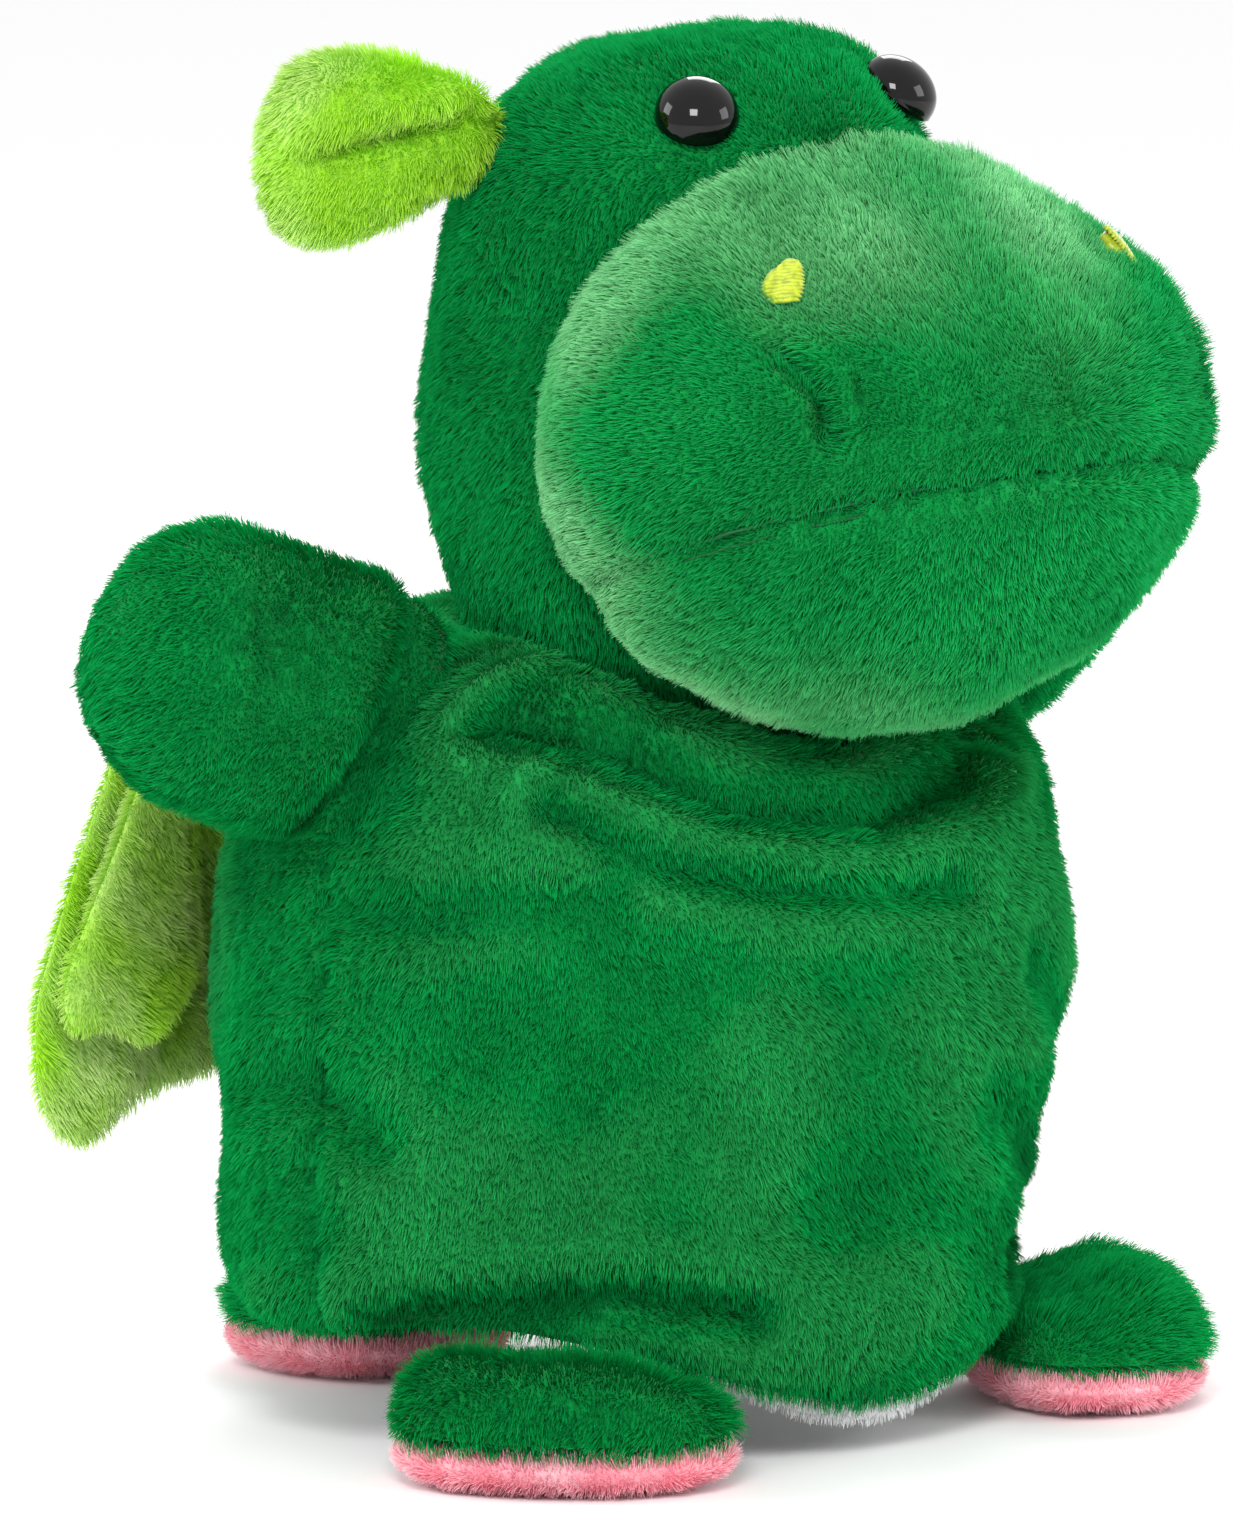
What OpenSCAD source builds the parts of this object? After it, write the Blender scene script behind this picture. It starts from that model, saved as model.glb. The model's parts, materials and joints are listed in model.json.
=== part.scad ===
// Moving mouth hand puppet: a plush dragon with a hand opening, a hinged jaw, floppy ears, arms and wings,
// and padded feet and tail flap that it stands on. Millimetres, +Z up, the face looks along -Y.

/* [Body] */
// Half the width of the sleeve at its widest
body_half_w = 81; // [72:1:88]
// Half the depth of the sleeve at its widest
body_half_d = 71; // [64:1:76]
// Height of the shoulder line, where the sleeve starts to close
shoulder_z = 110; // [100:1:114]
// Height of the neck opening at the back
neck_back_z = 140; // [132:1:141]
// Height of the neck opening at the front, under the chin
neck_front_z = 117; // [112:1:120]
// Radius of the neck opening
neck_r = 45; // [43:0.5:48]
// Thickness of a plush panel with its pile
plush_t = 3.5; // [2.5:0.1:4]

/* [Head] */
// Half the width of the crown
head_half_w = 50; // [46:1:54]
// Half the depth of the crown
head_half_d = 48; // [44:1:52]
// Height of the top of the head
head_top_z = 251; // [240:1:262]
// Half the width of the muzzle
muzzle_half_w = 65; // [58:1:68]
// Half the length of the muzzle's round form
muzzle_half_l = 53; // [48:1:53]
// Half the height of the muzzle's round form
muzzle_half_h = 54; // [50:1:54]
// Diameter of an eye dome
eye_d = 15; // [12:0.5:18]

/* [Mouth] */
// Rise of the mouth plane towards the front, in degrees
mouth_tilt = 18.4; // [15:0.1:20]
// Open gap between the two lips at rest
lip_gap = 1; // [0.6:0.1:2]

/* [Limbs] */
// Length of a stuffed arm
arm_l = 52; // [50:1:62]
// Length of an ear
ear_l = 43; // [40:1:50]
// Half the width of a foot across its toes
foot_half_w = 31; // [26:1:33]
// Thickness of a wing panel
wing_panel_t = 2.6; // [2:0.1:3]

/* [Hidden] */
body_y = 7.5;                 // centre of the sleeve, so that the whole puppet is centred on the origin
head_y = -6.5;                // centre of the crown
muzzle_c = [0, -49.5, 181];   // centre of the muzzle's round form
muzzle_r = [muzzle_half_w, muzzle_half_l, muzzle_half_h];
jaw_hinge = [0, -44, 161];    // axis through the two mouth corners, along X
hem_front_z = 10;
hem_side_z = 22;
lining_gap = 0.5;
lining_t = 2.6;
neck_tube_r = 33;
neck_tube_t = 2.5;
head_base_z = 144;
head_wall_z = 200;            // top of the straight wall of the head, where the crown's dome starts
fill_gap = 0.4;
board_t = 2;
mouth_lining_t = 1.5;
pocket_t = 1.5;
step_deg = 7.5;               // spacing of the columns round the sleeve

plush_green = "#00873c";
deep_green = "#00702f";
muzzle_green = "#4a9c56";
lime = "#8cc63c";
pink = "#f58ca5";
white_plush = "#ebebeb";
fibre = "#f4f1e6";
board_grey = "#8a8a86";

// ---------- closed meshes from grids of points ----------

function flatten(lists) = [for (a = lists) for (b = a) b];
function quad(a, b, c, d) = [[a, b, c], [a, c, d]];
function reversed(f) = [for (k = [len(f) - 1 : -1 : 0]) f[k]];
function volume6(p, f) = [for (t = f) p[t[0]] * cross(p[t[1]], p[t[2]])] * [for (t = f) 1];

// A closed mesh whose faces all look outwards, whichever way its grid runs
module oriented(points, faces) {
    polyhedron(points, volume6(points, faces) < 0 ? faces : [for (f = faces) reversed(f)], convexity = 8);
}

// Faces of one grid of rows by cols points, whose first point has the number first
function sheet_faces(rows, cols, first) = [
    for (i = [0 : rows - 2], j = [0 : cols - 2])
        for (t = quad(first + i * cols + j, first + i * cols + j + 1,
                      first + (i + 1) * cols + j + 1, first + (i + 1) * cols + j)) t
];

// A curved slab: the space between two matching open grids
module slab(outer, inner) {
    rows = len(outer);
    cols = len(outer[0]);
    n = rows * cols;
    function at(i, j) = i * cols + j;
    across = [for (j = [0 : cols - 2]) each [[at(0, j + 1), at(0, j)], [at(rows - 1, j), at(rows - 1, j + 1)]]];
    along = [for (i = [0 : rows - 2]) each [[at(i, 0), at(i + 1, 0)], [at(i + 1, cols - 1), at(i, cols - 1)]]];
    rims = [for (e = concat(across, along)) each quad(e[0], e[1], e[1] + n, e[0] + n)];
    oriented(concat(flatten(outer), flatten(inner)),
        concat(sheet_faces(rows, cols, 0), [for (f = sheet_faces(rows, cols, n)) reversed(f)], rims));
}

// A closed tube wall: the space between two matching grids whose columns run right round
module ring_wall(outer, inner) {
    rows = len(outer);
    cols = len(outer[0]);
    n = rows * cols;
    function at(i, j) = i * cols + j % cols;
    wall = [for (i = [0 : rows - 2], j = [0 : cols - 1])
        for (t = quad(at(i, j), at(i, j + 1), at(i + 1, j + 1), at(i + 1, j))) t];
    bottom = [for (j = [0 : cols - 1]) for (t = quad(at(0, j + 1), at(0, j), at(0, j) + n, at(0, j + 1) + n)) t];
    top = [for (j = [0 : cols - 1])
        for (t = quad(at(rows - 1, j), at(rows - 1, j + 1), at(rows - 1, j + 1) + n, at(rows - 1, j) + n)) t];
    oriented(concat(flatten(outer), flatten(inner)),
        concat(wall, [for (f = wall) reversed([for (v = f) v + n])], bottom, top));
}

// A solid form through a stack of closed rings
module loft(rings) {
    rows = len(rings);
    cols = len(rings[0]);
    function at(i, j) = i * cols + j % cols;
    wall = [for (i = [0 : rows - 2], j = [0 : cols - 1])
        for (t = quad(at(i, j), at(i, j + 1), at(i + 1, j + 1), at(i + 1, j))) t];
    bottom = [for (j = [1 : cols - 2]) [0, j + 1, j]];
    top = [for (j = [1 : cols - 2]) [at(rows - 1, 0), at(rows - 1, j), at(rows - 1, j + 1)]];
    oriented(flatten(rings), concat(wall, bottom, top));
}

// ---------- the sleeve ----------

// 1 at the front, 0 at the sides and the back
function frontness(phi) = pow(max(0, cos(phi)), 1.5);
function mix(a, b, t) = a + (b - a) * t;
function hem_z(phi) = mix(hem_side_z, hem_front_z, pow(max(0, cos(phi)), 6));
function lining_hem_z(phi) = mix(hem_side_z - 3, 0, min(1, max(0, (cos(phi) - 0.86) / 0.05)));

// Share of the full width that the sleeve has at the height z: widest at the belly
function belly(z) = 1 - 0.05 * pow((z - 60) / 50, 2);

// Points on the sleeve at the angle phi from the front, inset from the outside, from the hem to the neck.
function sleeve_column(phi, inset, z0, neck_radius, neck_drop) =
    let (f = frontness(phi),
         sh = mix(shoulder_z, shoulder_z - 20, f),
         nz = mix(neck_back_z, neck_front_z, f) - neck_drop,
         a = body_half_w - inset,
         b = body_half_d - inset,
         k = belly(sh))
    concat(
        [for (t = [0, 0.12, 0.35, 0.65, 1])
            let (z = mix(z0, sh, t)) [a * belly(z) * sin(phi), body_y - b * belly(z) * cos(phi), z]],
        [for (d = [20, 40, 60, 90])
            let (s = 1 - cos(d), x = neck_radius * sin(phi), y = -neck_radius * cos(phi))
            [mix(a * k * sin(phi), x, s), mix(body_y - b * k * cos(phi), y, s), mix(sh, nz, sin(d))]]);

function transpose(m) = [for (i = [0 : len(m[0]) - 1]) [for (j = [0 : len(m) - 1]) m[j][i]]];

module sleeve_panel(from, to) {
    slab(
        [for (p = [from : step_deg : to]) sleeve_column(p, 0, hem_z(p), neck_r, 0)],
        [for (p = [from : step_deg : to]) sleeve_column(p, plush_t, hem_z(p), neck_r - 0.5, plush_t)]);
}

module body_front_panel() {
    color(plush_green) sleeve_panel(-90, 90);
}

module body_back_panel() {
    color(plush_green) sleeve_panel(90, 270);
}

module body_lining() {
    outer_inset = plush_t + lining_gap;
    outer = [for (p = [0 : step_deg : 359]) sleeve_column(p, outer_inset, lining_hem_z(p), neck_r - 1, outer_inset)];
    inner = [for (p = [0 : step_deg : 359])
        sleeve_column(p, outer_inset + lining_t, lining_hem_z(p), neck_r - 1.5, outer_inset + lining_t)];
    color(white_plush) ring_wall(transpose(outer), transpose(inner));
}

module neck_lining() {
    tube_bottom_z = 104;
    tube_top_z = 150;
    color(white_plush) translate([0, 0, tube_bottom_z]) difference() {
        cylinder(h = tube_top_z - tube_bottom_z, r = neck_tube_r, $fn = 64);
        translate([0, 0, -1]) cylinder(h = tube_top_z - tube_bottom_z + 2, r = neck_tube_r - neck_tube_t, $fn = 64);
    }
}

// ---------- the head ----------

// Angle from the front at which the crown's plush meets the muzzle, at the height z
function cheek_phi(z) = lookup(z, [[head_base_z, 66], [165, 79], [186, 79], [200, 70], [215, 58.5], [228, 43.5], [236, 18], [239, 3]]);

function head_levels(inset, low = head_base_z) = concat(
    [for (z = [low, 160, 173, 186]) if (z == low || z > low) [z, z == head_base_z ? 0.95 : 1]],
    [for (d = [0, 17, 33, 48, 60, 71, 80, 89])
        [head_wall_z + (head_top_z - head_wall_z - inset) * sin(d), pow(cos(d), 0.8)]]);

function head_point(phi, level, inset) =
    [(head_half_w - inset) * level[1] * sin(phi), head_y - (head_half_d - inset) * level[1] * cos(phi), level[0]];

// Outer grid of one half of the head; side is 1 for +X and -1 for -X
function head_grid(side, inset, margin, columns) = [
    for (level = head_levels(inset))
        let (start = cheek_phi(level[0] + inset * 0.5) + margin)
        [for (k = [0 : columns]) head_point(side * mix(start, 180, k / columns), level, inset)]
];

module head_panel(side) {
    color(deep_green) difference() {
        slab(head_grid(side, 0, 0, 10), head_grid(side, plush_t, 0, 10));
        eye_frame(side) translate([0, 0, -20]) cylinder(h = 30, r = eye_shank_r + 0.1, $fn = 24);
    }
}

module head_left_panel() {
    head_panel(1);
}

module head_right_panel() {
    head_panel(-1);
}

module head_stuffing() {
    outer_inset = plush_t + fill_gap;
    inner_inset = outer_inset + 6;
    function both(inset) = [for (level = head_levels(inset, 160))
        let (start = cheek_phi(level[0] + inset * 0.5) + 4)
        [for (k = [-9 : 9]) head_point(180 + k / 9 * (180 - start), level, inset)]];
    color(fibre) difference() {
        slab(both(outer_inset), both(inner_inset));
        for (side = [-1, 1])
            eye_frame(side) translate([0, 0, -24]) cylinder(h = 24, r = washer_r + 1, $fn = 24);
    }
}

// Eyes: where a dome sits, and which way it looks
eye_pos = [25, -31, 238.5];
eye_look = [24, -32];         // degrees that its axis leans out and forward from upright
eye_shank_r = 2;
eye_seat = 0.6;                // height of the dome's flat back over the plush
shank_l = 11;
washer_r = 8;

module eye_frame(side) {
    translate([side * eye_pos[0], eye_pos[1], eye_pos[2]])
        rotate([-eye_look[1], side * eye_look[0], 0]) children();
}

module eye(side) {
    dome_h = eye_d * 0.42;
    color("#0a0a0a") eye_frame(side) {
        translate([0, 0, eye_seat]) intersection() {
            translate([0, 0, dome_h - eye_d / 2]) sphere(d = eye_d, $fn = 48);
            cylinder(h = eye_d, r = eye_d, $fn = 48);
        }
        translate([0, 0, -shank_l]) cylinder(h = shank_l + eye_seat + 0.2, r = eye_shank_r, $fn = 24);
    }
}

module eye_left() {
    eye(1);
}

module eye_right() {
    eye(-1);
}

module eye_washer(side) {
    washer_depth = 7.2;
    washer_t = 1.6;
    color("#e8e8e8") eye_frame(side) translate([0, 0, -washer_depth - washer_t]) difference() {
        cylinder(h = washer_t, r = washer_r, $fn = 32);
        translate([0, 0, -1]) cylinder(h = washer_t + 2, r = eye_shank_r + 0.05, $fn = 24);
    }
}

module eye_washer_left() {
    eye_washer(1);
}

module eye_washer_right() {
    eye_washer(-1);
}

// ---------- the muzzle and the jaw ----------

// Height of the mouth plane at the depth y, raised by lift along its own normal
function mouth_z(y, lift) = jaw_hinge[2] + (jaw_hinge[1] - y) * tan(mouth_tilt) + lift / cos(mouth_tilt);

// A point of the muzzle's round form: tau runs from the nose tip back, omega round from +X over the top
function snout_point(r, tau, omega) =
    muzzle_c + [r[0] * sin(tau) * cos(omega), -r[1] * cos(tau), r[2] * sin(tau) * sin(omega)];

// Angle at which a section of the form crosses the raised mouth plane
function lip_omega(r, tau, lift) =
    let (y = muzzle_c[1] - r[1] * cos(tau))
    asin(max(-0.97, min(0.97, (mouth_z(y, lift) - muzzle_c[2]) / (r[2] * sin(tau)))));

// Grid over the upper half, from the lip on one side to the lip on the other
function upper_grid(r, tau0, side_tau, top_tau, lift, rows, cols) = [
    for (i = [0 : rows]) [
        for (j = [0 : cols])
            let (share = j / cols,
                 tau_end = mix(side_tau, top_tau, sin(180 * share)),
                 tau = mix(tau0, tau_end, i / rows),
                 lip = lip_omega(r, tau, lift))
            snout_point(r, tau, mix(lip, 180 - lip, share))
    ]
];

// Grid over the lower half, back to the plane y = back_y
function lower_grid(r, tau0, back_y, lift, rows, cols) =
    let (tau_end = acos(min(1, (muzzle_c[1] - back_y) / r[1])))
    [for (i = [0 : rows]) [
        for (j = [0 : cols])
            let (tau = mix(tau0, tau_end, i / rows), lip = lip_omega(r, tau, lift))
            snout_point(r, tau, mix(lip, -180 - lip, j / cols))
    ]];

function shrunk(inset) = [muzzle_r[0] - inset, muzzle_r[1] - inset, muzzle_r[2] - inset];
pocket_r = [44, 38, 34];
muzzle_side_tau = 128;
muzzle_top_tau = 99;
upper_lift = lip_gap / 2 + mouth_lining_t + board_t + 0.3;
jaw_back_y = -61;

module muzzle_cover() {
    color(muzzle_green) slab(
        upper_grid(muzzle_r, 1.5, muzzle_side_tau, muzzle_top_tau, lip_gap / 2, 11, 22),
        upper_grid(shrunk(plush_t), 4, muzzle_side_tau, muzzle_top_tau, lip_gap / 2, 11, 22));
}

module muzzle_stuffing() {
    color(fibre) slab(
        upper_grid(shrunk(plush_t + fill_gap), 9, 118, 96, upper_lift, 7, 16),
        upper_grid(pocket_r, 14, 118, 96, upper_lift, 7, 16));
}

module finger_pocket() {
    outer = pocket_r - 2 * [fill_gap, fill_gap, fill_gap];
    color(white_plush) slab(
        upper_grid(outer, 16, 112, 96, upper_lift, 6, 14),
        upper_grid(outer - [pocket_t, pocket_t, pocket_t], 17, 112, 96, upper_lift, 6, 14));
}

// Outline of the mouth boards in the mouth plane: straight at the hinge, round at the front
module mouth_outline(half_w, front, back) {
    intersection() {
        polygon([for (a = [0 : 6 : 359]) [half_w * cos(a), -front * sin(a)]]);
        translate([-half_w, -front - 1]) square([2 * half_w, front + 1 - back]);
    }
}

module mouth_frame() {
    translate(jaw_hinge) rotate([-mouth_tilt, 0, 0]) children();
}

module mouth_plate(low, high) {
    mouth_frame() translate([0, 0, low]) linear_extrude(high - low) mouth_outline(50, 50, 2);
}

module mouth_roof_lining() {
    color(deep_green) mouth_plate(lip_gap / 2, lip_gap / 2 + mouth_lining_t);
}

module palate_board() {
    color(board_grey) mouth_plate(lip_gap / 2 + mouth_lining_t, lip_gap / 2 + mouth_lining_t + board_t);
}

module mouth_floor_lining() {
    color(deep_green) mouth_plate(-lip_gap / 2 - mouth_lining_t, -lip_gap / 2);
}

module jaw_board() {
    color(board_grey) mouth_plate(-lip_gap / 2 - mouth_lining_t - board_t, -lip_gap / 2 - mouth_lining_t);
}

thumb_r = [30, 40, 32];

module jaw_cover() {
    color(muzzle_green) slab(
        lower_grid(muzzle_r, 1.5, jaw_back_y, -lip_gap / 2, 8, 22),
        lower_grid(shrunk(plush_t), 5, jaw_back_y, -lip_gap / 2, 8, 22));
}

module jaw_stuffing() {
    color(fibre) slab(
        lower_grid(shrunk(plush_t + fill_gap), 12, jaw_back_y, -upper_lift, 6, 16),
        lower_grid(thumb_r, 30, jaw_back_y, -upper_lift, 6, 16));
}

module thumb_pocket() {
    outer = thumb_r - [fill_gap, fill_gap, fill_gap];
    color(white_plush) slab(
        lower_grid(outer, 32, jaw_back_y, -upper_lift, 5, 12),
        lower_grid(outer - [pocket_t, pocket_t, pocket_t], 33, jaw_back_y, -upper_lift, 5, 12));
}

// Turns +Z to look out of the muzzle at a nostril
module nostril_turn(side) {
    rotate([0, 0, side * 52]) rotate([51.5, 0, 0]) children();
}

module nostril(side) {
    tau = 64;
    omega = 40;
    stitch_lift = 1.5;
    pos = snout_point(shrunk(-stitch_lift), tau, 90 - side * (90 - omega));
    color("#a5be0a") translate(pos) nostril_turn(side)
        scale([1, 1, 0.3]) sphere(r = 4.2, $fn = 20);
}

module nostril_left() {
    nostril(1);
}

module nostril_right() {
    nostril(-1);
}

// ---------- stuffed paddles: ears and arms ----------

// Rings of a paddle along +X: profile lists [distance, half-height], flat is its thickness share
function paddle_ring(s, r, flat, from, to, n) = [
    for (k = [0 : n]) let (a = mix(from, to, k / n)) [s, flat * r * sin(a), r * cos(a)]];

function paddle_grid(profile, flat, inset, from, to, n) = [
    for (p = profile) paddle_ring(p[0], max(0.6, p[1] - inset), flat, from, to, n)];

module paddle_panel(profile, flat, side) {
    slab(paddle_grid(profile, flat, 0, 0, side * 180, 10),
        paddle_grid([for (p = profile) [min(p[0], profile[len(profile) - 1][0] - 1.5), p[1]]],
            flat, plush_t - 0.5, 0, side * 180, 10));
}

module paddle_core(profile, flat) {
    last = profile[len(profile) - 1][0];
    loft([for (p = profile)
        if (p[0] > 3 && p[0] < last - 3)
            [for (k = [0 : 15]) let (r = max(1, p[1] - plush_t)) [p[0], flat * r * sin(k * 22.5) * 0.9, r * cos(k * 22.5)]]]);
}

arm_root = [75, 7, 134];
arm_profile = [[0, 7], [6, 14.5], [14, 21], [25, 24.5], [35, 24.5], [44, 20], [50, 11], [arm_l, 3]];
ear_root = [50, 0, 231];
ear_droop = [2, 36];          // degrees that the right ear and the left ear hang below level
ear_sweep = [10, 32];         // degrees that they point back
ear_profile = [[0, 6], [7, 11], [17, 16.5], [28, 18.5], [37, 15.5], [41, 8], [ear_l, 2.5]];

module arm_frame(side) {
    translate([side * arm_root[0], arm_root[1], arm_root[2]])
        mirror([side < 0 ? 1 : 0, 0, 0]) rotate([0, -19, 17]) children();
}

module ear_frame(side) {
    translate([side * ear_root[0], ear_root[1], ear_root[2]])
        mirror([side < 0 ? 1 : 0, 0, 0])
            rotate([0, ear_droop[side > 0 ? 1 : 0], ear_sweep[side > 0 ? 1 : 0]]) children();
}

module arm_panel(side, face) {
    color(plush_green) arm_frame(side) paddle_panel(arm_profile, 0.82, face);
}

module arm_core(side) {
    color(fibre) arm_frame(side) paddle_core(arm_profile, 0.82);
}

module ear_panel(side, face) {
    color(lime) ear_frame(side) paddle_panel(ear_profile, 0.5, face);
}

module ear_core(side) {
    color(fibre) ear_frame(side) paddle_core(ear_profile, 0.42);
}

// ---------- wings ----------

wing_root = [22, 77.3];
wing_turn = 8;

module wing_outline() {
    difference() {
        polygon([[2, 62], [68, 50], [70, 76], [60, 96], [38, 130], [18, 142], [2, 134]]);
        translate([20, 44]) circle(r = 14, $fn = 48);
        translate([46, 40]) circle(r = 13, $fn = 48);
    }
}

// One layer of a wing, between two distances behind its front face
module wing_layer(side, near, far) {
    mirror([side < 0 ? 1 : 0, 0, 0]) translate([wing_root[0], wing_root[1], 0]) rotate([0, 0, -wing_turn])
        translate([0, far, 0]) rotate([90, 0, 0]) linear_extrude(far - near) wing_outline();
}

module wing_front(side) {
    color(lime) wing_layer(side, 0, wing_panel_t);
}

module wing_wadding(side) {
    color(fibre) wing_layer(side, wing_panel_t, wing_panel_t + 1.6);
}

module wing_back(side) {
    color(lime) wing_layer(side, wing_panel_t + 1.6, 2 * wing_panel_t + 1.6);
}

// ---------- feet and tail flap ----------

sole_t = 6;
pad_top_z = 16;
foot_hinge = [51, -28];
foot_turn = -34.3;
tail_hinge = [0, 57];

// Oval of a flap that starts just inside its hinge line and reaches out along +X
function pad_ring(reach, half_w, shrink, z) = [
    for (k = [0 : 27])
        let (a = k * 360 / 28, cx = reach / 2 - 1.5, c = cos(a), s = sin(a))
        [cx + (cx + 3 - shrink) * sign(c) * pow(abs(c), 0.8), (half_w - shrink) * sign(s) * pow(abs(s), 0.8), z]];

module pad_sole(reach, half_w) {
    loft([pad_ring(reach, half_w, 1.5, 0), pad_ring(reach, half_w, 0, 3), pad_ring(reach, half_w, 0, sole_t)]);
}

module pad_wadding(reach, half_w) {
    loft([pad_ring(reach, half_w, 5, sole_t + 0.3), pad_ring(reach, half_w, 6, sole_t + 4),
        pad_ring(reach, half_w, 10, pad_top_z - 3.4)]);
}

module pad_top(reach, half_w) {
    levels = [[0, sole_t + 0.2], [0.5, sole_t + 3], [4, pad_top_z - 3], [9, pad_top_z - 0.6]];
    under = [[3.4, sole_t + 0.2], [3.6, sole_t + 2.6], [6, pad_top_z - 5], [10, pad_top_z - 3]];
    difference() {
        loft(concat([for (l = levels) pad_ring(reach, half_w, l[0], l[1])], [pad_ring(reach, half_w, 14, pad_top_z)]));
        loft(concat([pad_ring(reach, half_w, 3.4, sole_t - 1)], [for (l = under) pad_ring(reach, half_w, l[0], l[1])]));
    }
}

foot_reach = 40;
tail_reach = 45.5;
tail_half_w = 26;

module foot_frame(side) {
    mirror([side < 0 ? 1 : 0, 0, 0]) translate([foot_hinge[0], foot_hinge[1], 0]) rotate([0, 0, foot_turn]) children();
}

module tail_frame() {
    translate([tail_hinge[0], tail_hinge[1], 0]) rotate([0, 0, 90]) children();
}

module foot_top(side) {
    color(plush_green) foot_frame(side) pad_top(foot_reach, foot_half_w);
}

module foot_sole(side) {
    color(pink) foot_frame(side) pad_sole(foot_reach, foot_half_w);
}

module foot_wadding(side) {
    color(fibre) foot_frame(side) pad_wadding(foot_reach, foot_half_w);
}

module tail_top() {
    color(plush_green) tail_frame() pad_top(tail_reach, tail_half_w);
}

module tail_sole() {
    color(pink) tail_frame() pad_sole(tail_reach, tail_half_w);
}

module tail_wadding() {
    color(fibre) tail_frame() pad_wadding(tail_reach, tail_half_w);
}

body_front_panel();
body_back_panel();
body_lining();
neck_lining();
head_left_panel();
head_right_panel();
head_stuffing();
muzzle_cover();
muzzle_stuffing();
finger_pocket();
palate_board();
mouth_roof_lining();
jaw_cover();
jaw_stuffing();
thumb_pocket();
jaw_board();
mouth_floor_lining();
eye_left();
eye_right();
eye_washer_left();
eye_washer_right();
nostril_left();
nostril_right();
ear_panel(1, -1);  // ear_left_front
ear_panel(1, 1);  // ear_left_back
ear_core(1);  // ear_left_wadding
ear_panel(-1, -1);  // ear_right_front
ear_panel(-1, 1);  // ear_right_back
ear_core(-1);  // ear_right_wadding
arm_panel(1, -1);  // arm_left_front
arm_panel(1, 1);  // arm_left_back
arm_core(1);  // arm_left_stuffing
arm_panel(-1, -1);  // arm_right_front
arm_panel(-1, 1);  // arm_right_back
arm_core(-1);  // arm_right_stuffing
wing_front(1);  // wing_left_front
wing_back(1);  // wing_left_back
wing_wadding(1);  // wing_left_wadding
wing_front(-1);  // wing_right_front
wing_back(-1);  // wing_right_back
wing_wadding(-1);  // wing_right_wadding
foot_top(1);  // foot_left_top
foot_sole(1);  // foot_left_sole
foot_wadding(1);  // foot_left_wadding
foot_top(-1);  // foot_right_top
foot_sole(-1);  // foot_right_sole
foot_wadding(-1);  // foot_right_wadding
tail_top();
tail_sole();
tail_wadding();
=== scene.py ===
"""Plush dragon hand puppet with a moving mouth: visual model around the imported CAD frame."""
import json
import math

import bpy
import numpy as np
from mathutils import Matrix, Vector


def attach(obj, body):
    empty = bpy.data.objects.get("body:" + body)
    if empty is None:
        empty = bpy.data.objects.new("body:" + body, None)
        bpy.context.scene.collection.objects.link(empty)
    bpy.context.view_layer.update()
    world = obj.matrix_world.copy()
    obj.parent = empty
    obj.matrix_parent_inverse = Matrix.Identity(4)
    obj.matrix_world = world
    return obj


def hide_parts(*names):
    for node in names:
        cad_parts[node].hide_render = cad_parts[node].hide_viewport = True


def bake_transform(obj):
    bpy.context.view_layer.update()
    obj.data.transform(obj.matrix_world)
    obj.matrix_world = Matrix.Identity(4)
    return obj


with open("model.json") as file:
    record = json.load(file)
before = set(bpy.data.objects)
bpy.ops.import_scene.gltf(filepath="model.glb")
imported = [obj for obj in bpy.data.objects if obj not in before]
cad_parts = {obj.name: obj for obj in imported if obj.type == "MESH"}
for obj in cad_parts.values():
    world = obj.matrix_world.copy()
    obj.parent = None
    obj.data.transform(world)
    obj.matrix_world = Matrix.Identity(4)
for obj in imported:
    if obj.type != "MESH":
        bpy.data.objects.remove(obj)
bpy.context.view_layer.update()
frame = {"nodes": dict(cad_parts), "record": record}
MM = 0.001
SIDES = (("left", 1), ("right", -1))

# --- camera, light, floor

CAM_AZIMUTH = math.radians(45)
CAM_ELEVATION = math.radians(8)
CAM_DISTANCE = 4.0
CAM_FRAME_H = 0.2710  # height of the picture at the target
CAM_TARGET = Vector((-0.0033, 0.0108, 0.1178))
SENSOR = 36
FLOOR_HALF = 6.0
LIGHTS = (  # name, place, size and power
    ("key", (-1.1, -0.9, 1.1), 0.5, 16), ("fill", (0.9, -1.3, 0.7), 0.7, 7),
    ("back_left", (-1.0, 0.9, 0.8), 0.6, 7), ("back_right", (1.0, 0.8, 1.0), 0.6, 6))
LIGHT_TARGET = Vector((0, 0, 0.12))


def make_camera():
    data = bpy.data.cameras.new("camera")
    data.sensor_fit = "VERTICAL"
    data.sensor_height = SENSOR
    data.lens = SENSOR * CAM_DISTANCE / CAM_FRAME_H
    cam = bpy.data.objects.new("camera", data)
    away = Vector((-math.sin(CAM_AZIMUTH) * math.cos(CAM_ELEVATION),
                   -math.cos(CAM_AZIMUTH) * math.cos(CAM_ELEVATION), math.sin(CAM_ELEVATION)))
    cam.location = CAM_TARGET + away * CAM_DISTANCE
    cam.rotation_euler = (-away).to_track_quat("-Z", "Y").to_euler()
    bpy.context.collection.objects.link(cam)
    bpy.context.scene.camera = cam


def area_light(name, location, size, power):
    data = bpy.data.lights.new(name, "AREA")
    data.size = size
    data.energy = power
    light = bpy.data.objects.new(name, data)
    light.location = location
    light.rotation_euler = (LIGHT_TARGET - Vector(location)).to_track_quat("-Z", "Y").to_euler()
    bpy.context.collection.objects.link(light)


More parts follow.
